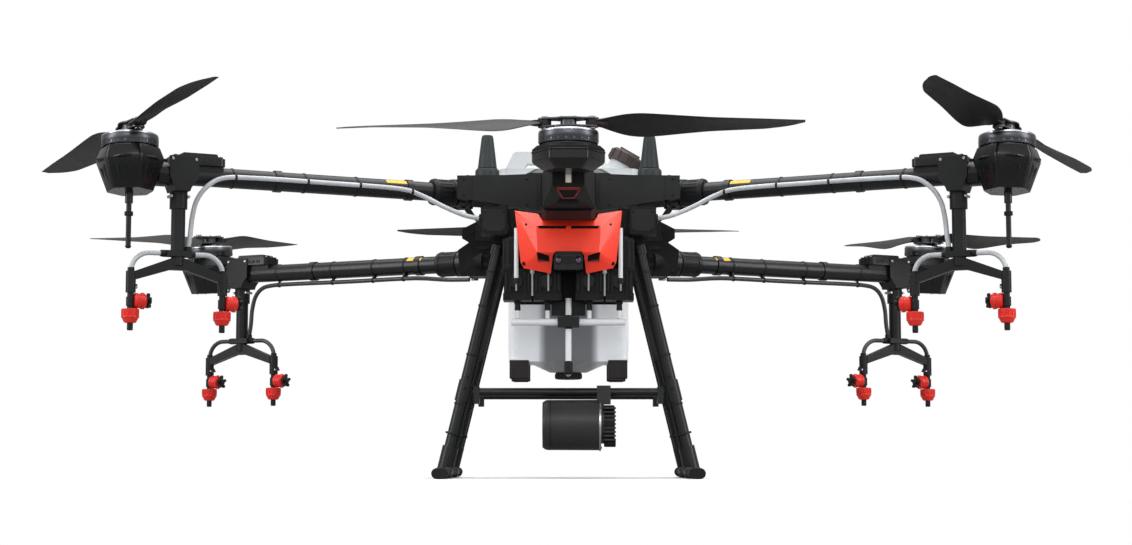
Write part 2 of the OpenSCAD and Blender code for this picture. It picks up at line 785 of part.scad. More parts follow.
module tank_handle() {
    low = tank_top_z - 2;
    slab(34, 60) polygon([[-142, low], [-118, 690], [-112, 693], [30, 693], [48, 680], [48, low],
                          [22, low], [22, 660], [14, 667], [-88, 667], [-106, low]]);
}

// The screw cap stands clear of the neck by the running gap and covers its rim.
module tank_cap() {
    r = neck_d / 2 + 0.4;
    color([0.2, 0.16, 0.15]) neck_frame() {
        rotate_extrude() polygon([[0, neck_len + 0.4], [r, neck_len + 0.4], [r, cap_skirt_z],
                                  [r + 6, cap_skirt_z], [r + 7, cap_skirt_z + 4],
                                  [r + 7, neck_len + 2], [r + 3, neck_len + 7],
                                  [0, neck_len + 8]]);
        for (k = [0 : 11]) rotate([0, 0, 30 * k])
            block([r + 4, -3, cap_skirt_z + 3], [r + 9, 3, neck_len + 3]);
        translate([0, 0, neck_len + 7]) linear_extrude(7) square([46, 9], center = true);
    }
}

module battery() {
    low = tray_z + tray_t + 0.3;
    color([0.22, 0.22, 0.24]) {
        translate([0, 0, low]) linear_extrude(battery_h - 10)
            rounded_plan(184, battery_front, battery_back, 8);
        translate([0, 0, low + battery_h - 10]) linear_extrude(10)
            rounded_plan(176, battery_front + 4, battery_back - 4, 8);
        difference() {
            block([-60, 165, low + battery_h], [60, 190, low + battery_h + 34]);
            block([-48, 160, low + battery_h + 1], [48, 195, low + battery_h + 24]);
        }
        both_sides() for (z = [380, 420, 460])
            block([20, battery_front - 1.5, z], [80, battery_front + 2, z + 6]);
    }
}

// ---- Landing gear -------------------------------------------------------

module landing_legs() {
    color([0.15, 0.15, 0.16]) both_sides() for (y = [-leg_y, leg_y]) difference() {
        translate([leg_x(0), y, 0]) rotate([0, -leg_lean, 0]) {
            cylinder(d = leg_d, h = 520);
            cylinder(d = leg_d + 7, h = 66);
            translate([0, 0, 160]) cylinder(d = leg_d + 5, h = 44);
            translate([0, 0, 470]) cylinder(d = leg_d + 6, h = 40);
        }
        translate([skid_x, y, 0]) {
            block([-90, -40, -40], [60, 40, 0.1]);
            translate([0, 0, skid_lift]) skid_profile(-40, 40, skid_w + 0.2, skid_h + 0.2);
        }
        block([60, -200, rail_z - 0.1], [240, 200, 600]);
    }
}

// A flat-sided oval bar along Y, standing on z = 0.
module skid_profile(start, end, w, h) {
    slab(start, end) {
        translate([-(w - h) / 2, 0]) square([w - h, h]);
        for (x = [-(w - h) / 2, (w - h) / 2]) translate([x, h / 2]) circle(d = h);
    }
}

module landing_skids() {
    color([0.1, 0.1, 0.1]) for (side = [-1, 1]) translate([side * skid_x, 0, 0]) {
        translate([0, 0, skid_lift]) skid_profile(-skid_len / 2, skid_len / 2, skid_w, skid_h);
        for (y = [-skid_len / 2 - shoe_len, skid_len / 2])
            skid_profile(y, y + shoe_len, shoe_w, shoe_h);
    }
}

module cross_tubes() {
    half = leg_x(cross_z) - leg_d / 2 - 5;
    color([0.12, 0.12, 0.12]) for (y = [-leg_y, leg_y]) translate([0, y, 0]) {
        translate([0, 0, cross_z]) rod_x(cross_d, -half, half);
        both_sides() block([half - 14, -11, cross_z - 24], [half - 2, 11, cross_z + 11]);
    }
}

// Ranging radar under the front cross tube, with its finned heat sink and clamp.
module radar_unit() {
    color([0.16, 0.16, 0.16]) translate([0, -leg_y, 0]) {
        difference() {
            block([58, -16, 150], [86, 16, cross_z + 13]);
            translate([0, 0, cross_z]) rod_x(cross_d + 2 * running_gap, 50, 100);
        }
        translate([-53, 0, 108]) rotate([0, 90, 0]) rotate_extrude()
            polygon([[0, 0], [46, 0], [50, 6], [51, 10], [51.5, 116], [52.5, 117], [52.5, 119],
                     [0, 119]]);
        translate([66, 0, 112]) rod_x(84, 0, 6);
        for (k = [0 : 8]) block([72, -40, 76 + 8 * k], [96, 40, 79.5 + 8 * k]);
        block([72, -4, 76], [92, 4, 143]);
    }
}

// ---- Assembly -----------------------------------------------------------

module placed() {
    translate([0, centre_y, 0]) children();
}

placed() main_frame();
placed() front_beam();
placed() top_cover();
placed() front_cover();
placed() lamp_module();
placed() spray_pumps();
placed() feed_manifold();
placed() position_antennas();
placed() landing_legs();
placed() landing_skids();
placed() cross_tubes();
placed() radar_unit();
placed() fold_pins();
placed() spray_tank();
placed() tank_cap();
placed() battery();
placed() nose_arm();
placed() tail_arm();
for (name = ARM_NAMES) {
    placed() arm_tube(name);
    placed() lock_collar(name);
    placed() motor_pod(name);
    placed() spray_boom(name);
    placed() nozzle_set(name);
    placed() spray_hose(name);
}
for (name = ROTOR_NAMES) {
    placed() rotor_hub(name);
    placed() blade(name, "a");
    placed() blade(name, "b");
}
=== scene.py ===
"""Looks of the six-rotor agricultural spray drone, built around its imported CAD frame.

Pieces are drawn in millimetres inside a few local frames (airframe, side arm, motor, nose or
tail arm), whose matrices bring them to metres in the shared frame.
"""

import json
import math
import random

import bpy
from mathutils import Matrix, Vector


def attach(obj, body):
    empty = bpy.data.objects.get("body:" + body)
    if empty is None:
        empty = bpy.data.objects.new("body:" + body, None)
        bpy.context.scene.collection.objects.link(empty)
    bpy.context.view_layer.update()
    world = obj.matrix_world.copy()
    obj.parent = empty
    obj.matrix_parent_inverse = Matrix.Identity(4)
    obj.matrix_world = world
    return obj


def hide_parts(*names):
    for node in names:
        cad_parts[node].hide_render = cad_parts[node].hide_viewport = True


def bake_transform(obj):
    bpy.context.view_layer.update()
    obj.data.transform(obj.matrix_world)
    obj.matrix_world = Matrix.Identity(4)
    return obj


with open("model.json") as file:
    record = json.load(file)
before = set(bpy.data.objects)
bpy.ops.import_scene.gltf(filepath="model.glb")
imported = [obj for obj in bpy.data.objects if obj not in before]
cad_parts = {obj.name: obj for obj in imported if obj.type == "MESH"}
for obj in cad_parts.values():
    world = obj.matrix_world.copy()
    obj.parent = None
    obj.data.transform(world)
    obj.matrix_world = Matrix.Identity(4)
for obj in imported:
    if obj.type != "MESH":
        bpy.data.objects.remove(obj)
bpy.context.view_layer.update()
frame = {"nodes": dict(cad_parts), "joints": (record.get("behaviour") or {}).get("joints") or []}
random.seed(7)

ARM_NAMES = ("fl", "fr", "rl", "rr")
END_NAMES = ("nose", "tail")
JOINTS = {j["name"]: j for j in frame["joints"]}
MM = Matrix.Scale(0.001, 4)
CENTRE_Y = sum(JOINTS[n + "_arm_fold"]["pos_m"][1] for n in END_NAMES) / 2


# ---- Local frames ---------------------------------------------------------

def moved(x, y, z):
    return Matrix.Translation((x, y, z))


def axes(origin, x, y, z):
    """A frame with this origin, in metres, and these axes, for points in millimetres."""
    m = Matrix((x, y, z)).transposed().to_4x4()
    return Matrix.Translation(origin) @ m @ MM


def arm_frame(name):
    side = 1 if name.endswith("r") else -1
    along = Vector(JOINTS["collar_slide_" + name]["axis"])
    back = side * Vector((0, 0, 1)).cross(along)
    height = JOINTS["arm_fold_" + name]["pos_m"][2]
    return axes((0, CENTRE_Y, height), along, back, Vector((0, 0, 1)))


def motor_frame(name):
    """Z up the motor axis from the underside of the bell, X along blade A's side of the hub."""
    spin = JOINTS["rotor_spin_" + name]
    up = Vector(spin["axis"])
    bolt = Vector(JOINTS["blade_fold_a_" + name]["pos_m"]) - Vector(spin["pos_m"])
    along = (bolt - bolt.dot(up) * up).normalized()
    return axes(spin["pos_m"], along, up.cross(along), up)


def end_frame(name):
    """Y outward along the nose or tail arm, Z measured as on the nose arm."""
    pin = JOINTS[name + "_arm_fold"]["pos_m"]
    out = -1 if name == "nose" else 1
    drop = JOINTS["nose_arm_fold"]["pos_m"][2] - pin[2]
    return axes((0, CENTRE_Y, -drop), Vector((out, 0, 0)), Vector((0, out, 0)), Vector((0, 0, 1)))


AIR = moved(0, CENTRE_Y, 0) @ MM
ARM = {n: arm_frame(n) for n in ARM_NAMES}
MOTOR = {n: motor_frame(n) for n in END_NAMES + ARM_NAMES}
END = {n: end_frame(n) for n in END_NAMES}


def turned(axis, degrees):
    return Matrix.Rotation(math.radians(degrees), 4, axis)


# ---- Mesh building --------------------------------------------------------

def put(name, data):
    """A new object in the scene."""
    obj = bpy.data.objects.new(name, data)
    bpy.context.scene.collection.objects.link(obj)
    return obj


def circle(points):
    return [2 * math.pi * k / points for k in range(points)]


class Shape:
    """Collects surfaces, in the millimetres of its frame, and becomes one piece on a body."""

    def __init__(self, base):
        self.base = base
        self.verts, self.faces, self.slots = [], [], []
        self.slot = 0

    def add(self, points, faces, place=None):
        m = self.base @ place if place else self.base
        first, flip = len(self.verts), m.determinant() < 0
        self.verts += [m @ Vector(p) for p in points]
        for face in faces:
            face = [first + i for i in face]
            self.faces.append(face[::-1] if flip else face)
            self.slots.append(self.slot)
        return self

    def rings(self, rings, place=None, closed=False):
        """Skins a row of rings that have the same number of points."""
        n, m = len(rings[0]), len(rings)
        points = [p for ring in rings for p in ring]
        faces = [(i * n + k, i * n + (k + 1) % n, (i + 1) % m * n + (k + 1) % n, (i + 1) % m * n + k)
                 for i in range(m if closed else m - 1) for k in range(n)]
        if not closed:
            faces += [tuple(range(n))[::-1], tuple((m - 1) * n + k for k in range(n))]
        return self.add(points, faces, place)

    def lathe(self, profile, place=None, sides=40):
        """Turns (radius, height) points, listed upward along the outside, about Z."""
        rings = [[(r * math.cos(a), r * math.sin(a), z) for a in circle(sides)]
                 for r, z in ((max(r, 0.02), z) for r, z in profile)]
        return self.rings(rings, place)

    def rod(self, radius, low, high, place=None, sides=28, round_by=0.6):
        c = min(round_by, radius * 0.4, (high - low) * 0.4)
        return self.lathe([(radius - c, low), (radius, low + c), (radius, high - c),
                           (radius - c, high)], place, sides)

    def prism(self, outline, low, high, place=None):
        """Extrudes an anticlockwise outline in X and Y from low to high along Z."""
        return self.rings([[(x, y, z) for x, y in outline] for z in (low, high)], place)

    def slab(self, outline, front, back, place=None):
        """Extrudes an anticlockwise outline in X and Z, seen from the front, along Y."""
        turn = Matrix(((1, 0, 0, 0), (0, 0, 1, 0), (0, 1, 0, 0), (0, 0, 0, 1)))
        m = place @ turn if place else turn
        return self.rings([[(x, z, y) for x, z in outline] for y in (front, back)], m)

    def block(self, corner, opposite, place=None):
        """A box between two corners, given in any order."""
        (x0, x1), (y0, y1), (z0, z1) = (sorted(pair) for pair in zip(corner, opposite))
        return self.prism([(x0, y0), (x1, y0), (x1, y1), (x0, y1)], z0, z1, place)

    def tube(self, path, radius, place=None, sides=14):
        """Sweeps a round section along a smooth path. radius may be a function of 0..1."""
        path = [Vector(p) for p in path]
        last = len(path) - 1
        size = radius if callable(radius) else (lambda t: radius)
        rings, side = [], None
        for i, p in enumerate(path):
            along = (path[min(i + 1, last)] - path[max(i - 1, 0)]).normalized()
            if side is None:
                side = along.orthogonal().normalized()
            side = (side - side.dot(along) * along).normalized()
            other = along.cross(side)
            r = size(i / last)
            rings.append([p + r * (math.cos(a) * side + math.sin(a) * other)
                          for a in circle(sides)])
        return self.rings(rings, place)

    def build(self, name, body, materials, bevel=0.0, smooth=38,
              stands_for=()):
        mesh = bpy.data.meshes.new(name)
        mesh.from_pydata(self.verts, [], self.faces)
        for m in materials:
            mesh.materials.append(m)
        mesh.polygons.foreach_set("material_index", self.slots)
        mesh.polygons.foreach_set("use_smooth", [True] * len(self.faces))
        mesh.set_sharp_from_angle(angle=math.radians(smooth))
        mesh.validate()
        obj = put(name, mesh)
        if bevel:
            soften(obj, bevel)
        if body:
            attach(obj, body)
        if stands_for:
            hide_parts(*stands_for)
        return obj


def soften(obj, width, segments=2):
    """Rounds the hard edges by width, in millimetres."""
    bevel = obj.modifiers.new("rounded_edges", "BEVEL")
    bevel.width = width / 1000
    bevel.segments = segments
    bevel.limit_method = "ANGLE"
    bevel.angle_limit = math.radians(32)
    bevel.use_clamp_overlap = True
    bevel.harden_normals = True
    return obj


def refine(node, material, bevel=0.8, segments=2):
    """Gives a CAD node its material and rounds its edges, with its own mesh as it came."""
    obj = frame["nodes"][node]
    mesh = obj.data
    mesh.materials.clear()
    for m in material if isinstance(material, (list, tuple)) else [material]:
        mesh.materials.append(m)
    if "custom_normal" in mesh.attributes:
        mesh.attributes.remove(mesh.attributes["custom_normal"])
    mesh.polygons.foreach_set("use_smooth", [True] * len(mesh.polygons))
    weld = obj.modifiers.new("weld", "WELD")
    weld.merge_threshold = 0.00002
    flat = obj.modifiers.new("flat_faces", "DECIMATE")
    flat.decimate_type = "DISSOLVE"
    flat.angle_limit = math.radians(0.5)
    if bevel:
        soften(obj, bevel, segments)
    else:
        split = obj.modifiers.new("creases", "EDGE_SPLIT")
        split.split_angle = math.radians(32)
    return obj


def smooth_path(points, steps=8):
    """A curve through given points."""
    pts = [Vector(p) for p in points]
    last, out = len(pts) - 1, []
    for i in range(last):
        a, b, c, d = (pts[max(i - 1, 0)], pts[i], pts[i + 1], pts[min(i + 2, last)])
        for t in (k / steps for k in range(steps)):
            out.append(0.5 * (2 * b + (c - a) * t + (2 * a - 5 * b + 4 * c - d) * t ** 2
                              + (3 * b - a - 3 * c + d) * t ** 3))
    return out + [pts[-1]]


def lookup(x, table):
    for (x0, y0), (x1, y1) in zip(table, table[1:]):
        if x <= x1:
            return y0 + (y1 - y0) * max(0.0, (x - x0) / (x1 - x0))
    return table[-1][1]


def ease(x, table):
    """Like lookup, rounded at the corners of the table."""
    spread = 9
    return sum(lookup(x + d, table) for d in (-spread, -spread / 2, 0, spread / 2, spread)) / 5


# ---- Materials ------------------------------------------------------------

def rgb(r, g, b):
    """An sRGB colour, 0 to 255, as linear values."""
    def linear(c):
        c /= 255
        return c / 12.92 if c <= 0.04045 else ((c + 0.055) / 1.055) ** 2.4
    return (linear(r), linear(g), linear(b), 1)


class Nodes:
    """A material's node tree, with short calls for the nodes that repeat."""

    def __init__(self, name):
        self.material = bpy.data.materials.new(name)
        self.material.use_nodes = True
        self.tree = self.material.node_tree
        self.shader = self.tree.nodes["Principled BSDF"]
        self.where = self.new("ShaderNodeTexCoord").outputs["Object"]

    def new(self, kind, **settings):
        node = self.tree.nodes.new(kind)
        for key, value in settings.items():
            setattr(node, key, value)
        return node

    def link(self, source, socket):
        self.tree.links.new(source, socket)

    def feed(self, source, socket):
        self.link(source, self.shader.inputs[socket])

    def fix(self, values):
        for socket, value in values.items():
            self.shader.inputs[socket].default_value = value

    def noise(self, scale, detail=3, stretch=None, rough=0.55):
        node = self.new("ShaderNodeTexNoise")
        node.inputs["Scale"].default_value = scale
        node.inputs["Detail"].default_value = detail
        node.inputs["Roughness"].default_value = rough
        self.link(self.mapped(stretch) if stretch else self.where, node.inputs["Vector"])
        return node.outputs["Fac"]

    def mapped(self, scale, turn=(0, 0, 0)):
        node = self.new("ShaderNodeMapping")
        node.inputs["Scale"].default_value = scale
        node.inputs["Rotation"].default_value = turn
        self.link(self.where, node.inputs["Vector"])
        return node.outputs["Vector"]

    def ramp(self, source, stops, smooth=False):
        node = self.new("ShaderNodeValToRGB")
        ramp = node.color_ramp
        ramp.interpolation = "EASE" if smooth else "LINEAR"
        while len(ramp.elements) < len(stops):
            ramp.elements.new(0.5)
        for element, (position, colour) in zip(ramp.elements, stops):
            element.position = position
            element.color = colour if hasattr(colour, "__len__") else (colour,) * 3 + (1,)
        self.link(source, node.inputs["Fac"])
        return node.outputs["Color"]

    def math(self, operation, a, b=0.5, c=None):
        node = self.new("ShaderNodeMath", operation=operation)
        for socket, value in zip(node.inputs, (a, b, c)):
            if value is None:
                continue
            if isinstance(value, (int, float)):
                socket.default_value = value
            else:
                self.link(value, socket)
        return node.outputs["Value"]

    def mix(self, factor, a, b):
        node = self.new("ShaderNodeMix", data_type="RGBA")
        for socket, value in ((node.inputs[0], factor), (node.inputs[6], a), (node.inputs[7], b)):
            if isinstance(value, (int, float, tuple)):
                socket.default_value = value
            else:
                self.link(value, socket)
        return node.outputs[2]

    def part(self, index, source=None):
        node = self.new("ShaderNodeSeparateXYZ")
        self.link(source or self.where, node.inputs["Vector"])
        return node.outputs[index]

    def bump(self, height, strength, distance=0.0004, after=None):
        node = self.new("ShaderNodeBump")
        node.inputs["Strength"].default_value = strength
        node.inputs["Distance"].default_value = distance
        self.link(height, node.inputs["Height"])
        if after:
            self.link(after, node.inputs["Normal"])
        return node.outputs["Normal"]

    def upward(self):
        """1 on faces that look up, where dust settles."""
        node = self.new("ShaderNodeTexCoord")
        z = self.part(2, node.outputs["Normal"])
        return self.ramp(z, [(0.55, 0.0), (0.95, 1.0)])


def plastic(name, colour, roughness, grain=900, grain_depth=0.12, tone=0.12, dust=0.25,
            coat=0.0, metal=0.0, spots=0.1, specular=0.3):
    """Moulded plastic or paint: fine grain, faint tone drift, handling marks, dust on top."""
    n = Nodes(name)
    darker = tuple(c * (1 - tone) for c in colour[:3]) + (1,)
    lighter = tuple(min(1, c * (1 + tone) + 0.002) for c in colour[:3]) + (1,)
    base = n.mix(n.ramp(n.noise(11, 4), [(0.35, 0.0), (0.65, 1.0)]), darker, lighter)
    settled = n.math("MULTIPLY", n.upward(), n.ramp(n.noise(60, 5), [(0.42, 0.0), (0.72, 1.0)]))
    settled = n.math("MULTIPLY", settled, dust)
    dust_tone = tuple(0.75 * c + 0.09 for c in colour[:3]) + (1,)
    n.feed(n.mix(settled, base, dust_tone), "Base Color")
    marks = n.ramp(n.noise(140, 6, (1, 1, 3), 0.7), [(0.45, 0.0), (0.7, 1.0)])
    rough = n.math("MULTIPLY_ADD", marks, spots, roughness - spots / 2)
    n.feed(n.math("MULTIPLY_ADD", settled, 0.3, rough), "Roughness")
    n.feed(n.bump(n.noise(grain, 2), grain_depth), "Normal")
    n.fix({"Metallic": metal, "Coat Weight": coat, "Coat Roughness": 0.12,
           "Specular IOR Level": specular})
    return n.material


def carbon_tube():
    """Wound carbon tube under clear resin: crossed fine bands that show in the gloss."""
    n = Nodes("carbon_tube")
    bands = []
    for turn in (0.79, -0.79):
        wave = n.new("ShaderNodeTexWave", wave_type="BANDS", bands_direction="X")
        wave.inputs["Scale"].default_value = 150
        wave.inputs["Distortion"].default_value = 0.6
        n.link(n.mapped((1, 1, 1), (turn, turn, 0)), wave.inputs["Vector"])
        bands.append(wave.outputs["Fac"])
    weave = n.math("MULTIPLY", bands[0], bands[1])
    n.feed(n.mix(weave, rgb(15, 16, 18), rgb(28, 30, 33)), "Base Color")
    n.feed(n.math("MULTIPLY_ADD", n.noise(60, 5, (1, 1, 4)), 0.16, 0.27), "Roughness")
    n.feed(n.bump(weave, 0.12, 0.0002), "Normal")
    n.fix({"Specular IOR Level": 0.25, "Coat Weight": 0.12, "Coat Roughness": 0.18})
    return n.material


def blade_plastic():
    """Glass-filled nylon of the blades: flow streaks along the blade."""
    n = Nodes("blade_nylon")
    streaks = n.ramp(n.noise(26, 3, (2, 2, 4)), [(0.3, 0.0), (0.7, 1.0)])
    n.feed(n.mix(streaks, rgb(20, 19, 18), rgb(29, 28, 27)), "Base Color")
    n.feed(n.math("MULTIPLY_ADD", n.noise(90, 3), 0.12, 0.42), "Roughness")
    n.feed(n.bump(n.noise(420, 2), 0.05), "Normal")
    n.fix({"Specular IOR Level": 0.25})
    return n.material


def brushed_metal(name, colour, roughness, stretch=(1, 1, 22)):
    n = Nodes(name)
    lines = n.noise(380, 4, stretch)
    n.feed(n.mix(lines, tuple(c * 0.8 for c in colour[:3]) + (1,), colour), "Base Color")
    n.feed(n.math("MULTIPLY_ADD", lines, 0.2, roughness - 0.1), "Roughness")
    n.feed(n.bump(lines, 0.06, 0.0002), "Normal")
    n.fix({"Metallic": 1.0})
    return n.material


def tank_plastic():
    """Milky blow-moulded polyethylene, with painted shade and a painted glow: darker at the bottom
    and on top, and near-black down the middle low down.
    """
    n = Nodes("tank_polyethylene")
    z = n.part(2)
    x = n.math("ABSOLUTE", n.part(0), 0)
    # Painted shade by height: a little darker at the bottom, and much darker on the top and handle
    # above 0.65 m, which the lamps light most.
    low = n.ramp(z, [(0.24, rgb(236, 239, 243)), (0.40, rgb(248, 250, 252)),
                     (0.60, rgb(240, 243, 246)), (0.65, rgb(172, 176, 178))])
    cloud = n.ramp(n.noise(16, 5), [(0.3, 0.93), (0.7, 1.0)])
    tint = n.new("ShaderNodeMix", data_type="RGBA", blend_type="MULTIPLY")
    tint.inputs[0].default_value = 1
    n.link(low, tint.inputs[6])
    n.link(cloud, tint.inputs[7])
    # Painted shade: a near-black band down the middle of the tank below about 0.4 m, for the shadow
    # behind the pipes.
    middle = n.ramp(x, [(0.045, 1.0), (0.066, 0.0)], smooth=True)
    through = n.math("MULTIPLY", middle, n.ramp(z, [(0.36, 1.0), (0.42, 0.2)]))
    n.feed(n.mix(n.math("MULTIPLY", through, 0.99), tint.outputs[2], rgb(24, 25, 28)), "Base Color")
    n.feed(n.math("MULTIPLY_ADD", n.noise(90, 4), 0.16, 0.27), "Roughness")
    n.feed(n.bump(n.noise(40, 3), 0.10, 0.0008, n.bump(n.noise(1200, 2), 0.05)), "Normal")
    n.fix({"Subsurface Weight": 0.25, "Subsurface Radius": (0.02, 0.02, 0.022)})
    # Painted glow: an even white emission over the whole tank, as if light came through its thin
    # walls.
    n.fix({"Emission Color": (0.86, 0.9, 0.96, 1), "Emission Strength": 0.1})
    return n.material


def clear_hose(name, colour, roughness, coat):
    """Extruded hose: faint mottling, fine grain and a soft clear coat."""
    n = Nodes(name)
    dark = tuple(c * 0.82 for c in colour[:3]) + (1,)
    n.feed(n.mix(n.ramp(n.noise(30, 4), [(0.35, 0.0), (0.65, 1.0)]), dark, colour), "Base Color")
    n.feed(n.math("MULTIPLY_ADD", n.noise(200, 3), 0.14, roughness), "Roughness")
    n.feed(n.bump(n.noise(700, 3), 0.08), "Normal")
    n.fix({"Coat Weight": coat, "Subsurface Weight": 0.08,
           "Subsurface Radius": (0.004, 0.004, 0.004)})
    return n.material


def lens_glass():
    """Coated camera glass with a violet sheen that varies across the coating."""
    n = Nodes("lens_glass")
    n.feed(n.mix(n.noise(60, 2), rgb(38, 20, 52), rgb(74, 44, 88)), "Base Color")
    n.feed(n.math("MULTIPLY_ADD", n.noise(300, 2), 0.04, 0.04), "Roughness")
    n.fix({"Coat Weight": 1.0, "Coat Roughness": 0.03})
    return n.material


SATIN_BLACK = plastic("satin_black", rgb(24, 25, 26), 0.44, coat=0.03, specular=0.17, dust=0.12)
DEEP_BLACK = plastic("deep_black", rgb(15, 16, 16), 0.5, tone=0.15, specular=0.15, dust=0.12)
GLOSS_BLACK = plastic("gloss_black", rgb(12, 13, 14), 0.28, grain_depth=0.04, coat=0.14,
                      spots=0.06, specular=0.2, dust=0.1)
MATT_BLACK = plastic("matt_black", rgb(27, 27, 27), 0.6, specular=0.07, spots=0.06, dust=0.05,
                    grain_depth=0.03)
ANTENNA_GREY = plastic("antenna_grey", rgb(42, 47, 48), 0.46, specular=0.2, dust=0.1)
FOOT_GREY = plastic("foot_grey", rgb(44, 41, 41), 0.6, grain=500, grain_depth=0.2, specular=0.2)
RADAR_GREY = plastic("radar_grey", rgb(44, 44, 45), 0.42, specular=0.25, dust=0.1)
BLACK_STEEL = plastic("black_steel", rgb(30, 30, 32), 0.36, metal=0.6, dust=0.1)
COVER_RED = plastic("cover_red", rgb(252, 60, 34), 0.38, tone=0.05, coat=0.2, dust=0.1,
                    grain_depth=0.07)
NOZZLE_RED = plastic("nozzle_red", rgb(206, 34, 24), 0.4, tone=0.07, coat=0.1, dust=0.0,
                     grain_depth=0.02, spots=0.04)
TRIM_RED = plastic("trim_red", rgb(122, 24, 22), 0.3, tone=0.06, coat=0.2, dust=0.05)
CAP_BROWN = plastic("cap_brown", rgb(60, 50, 49), 0.5, tone=0.12)
RUBBER = plastic("rubber", rgb(18, 18, 19), 0.7, grain=500, grain_depth=0.3, tone=0.15, specular=0.2)
PIPE_GREY = plastic("pipe_grey", rgb(150, 153, 156), 0.36, tone=0.06, dust=0.05)
PIPE_WHITE = plastic("pipe_white", rgb(216, 219, 222), 0.32, tone=0.04, dust=0.05, coat=0.1)
BATTERY_GREY = plastic("battery_grey", rgb(66, 67, 71), 0.5)
STRIPE_YELLOW = plastic("stripe_yellow", rgb(222, 176, 52), 0.5, tone=0.06)
LAMP_WHITE = plastic("lamp_white", rgb(238, 232, 220), 0.2, tone=0.04, coat=0.6, dust=0.0)
CARBON = carbon_tube()
BLADE = blade_plastic()
MOTOR_METAL = brushed_metal("motor_metal", rgb(86, 87, 92), 0.36)
BRIGHT_METAL = brushed_metal("bright_metal", rgb(196, 198, 200), 0.26)
STEEL = brushed_metal("screw_steel", rgb(150, 152, 155), 0.3, (1, 1, 1))
TANK = tank_plastic()
HOSE_CLEAR = clear_hose("hose_clear", rgb(178, 181, 185), 0.22, 0.4)
HOSE_BLACK = clear_hose("hose_black", rgb(36, 37, 39), 0.38, 0.15)
LENS = lens_glass()
# Painted shade: the near-black of the shaded hollows behind the cover's slots and vents.
SLOT_SHADE_BLACK = plastic("dark_inside", rgb(16, 16, 17), 0.75, dust=0.0)


# ---- Rotors ---------------------------------------------------------------

PLATE_Z = 31.5
BLADE_Z = 40
BOLT_REACH = 42
TIP_REACH = 419
CHORD = [(50, 26), (62, 40), (78, 56), (100, 68), (128, 74), (165, 73), (220, 67), (280, 61),
         (350, 55), (385, 42), (405, 29), (416, 17), (419, 12)]
# The leading edge runs straight on to the tip, while the trailing edge is cut back.
LEAD = [(50, 10), (78, 21), (100, 26), (128, 28.5), (165, 27.7), (220, 25.5), (280, 23), (350, 21),
        (419, 17)]
PITCH = [(50, 13), (104, 25), (132, 26), (250, 14), (419, 7)]
THICKNESS = [(50, 10), (104, 8.5), (220, 5.5), (419, 2.2)]
CLOCKWISE = ("nose", "rl", "rr")
# Degrees by which blade A lags behind its clamp at rest; blade B lags the other way.
LAG = {"fl": -2.3, "fr": 2.3, "rl": 2.8, "rr": -2.8}


def blade_ring(r, spin, points=28):
    """One closed section of the blade: cambered, with its leading edge raised."""
    chord, pitch = ease(r, CHORD), math.radians(ease(r, PITCH))
    thick = ease(r, THICKNESS)
    ring = []
    for a in circle(points):
        y = ease(r, LEAD) - chord * (0.5 - 0.5 * math.cos(a))
        z = 0.5 * thick * math.sin(a) * (0.75 + 0.25 * math.cos(a)) + 0.035 * chord * math.sin(a) ** 2
        ring.append((r, spin * (y * math.cos(pitch) - z * math.sin(pitch)),
                     y * math.sin(pitch) + z * math.cos(pitch) - 0.013 * (r - 54)))
    return ring if spin > 0 else ring[::-1]


def make_blade(name, letter):
    spin = -1 if name in CLOCKWISE else 1
    lag = LAG.get(name, 0) if letter == "a" else -LAG.get(name, 0)
    half_turn = turned("Z", 0 if letter == "a" else 180)
    bolt = moved(BOLT_REACH, 0, BLADE_Z) @ turned("Z", lag)
    s = Shape(MOTOR[name] @ half_turn @ bolt @ moved(-BOLT_REACH, 0, 0))
    stations = [50 + 6 * k for k in range(60)] + [406, 410, 413, 416, 418, TIP_REACH]
    s.rings([blade_ring(r, spin) for r in stations])
    s.lathe([(8, -5), (11.5, -4.4), (11.5, 4.4), (8, 5)],
            moved(BOLT_REACH, 0, 0))
    s.rings([[(x, y, z) for y, z in ((-w, -h), (w, -h), (w, h), (-w, h))]
             for x, w, h in ((44, 9, 4.8), (54, 10, 4.8), (62, 9.5, 4.2), (72, 7.5, 2.4))])
    return s.build(f"blade_{letter}_{name}_skin", f"blade_{letter}_{name}", [BLADE], bevel=0.6,
                   stands_for=[f"blade_{letter}_{name}"])


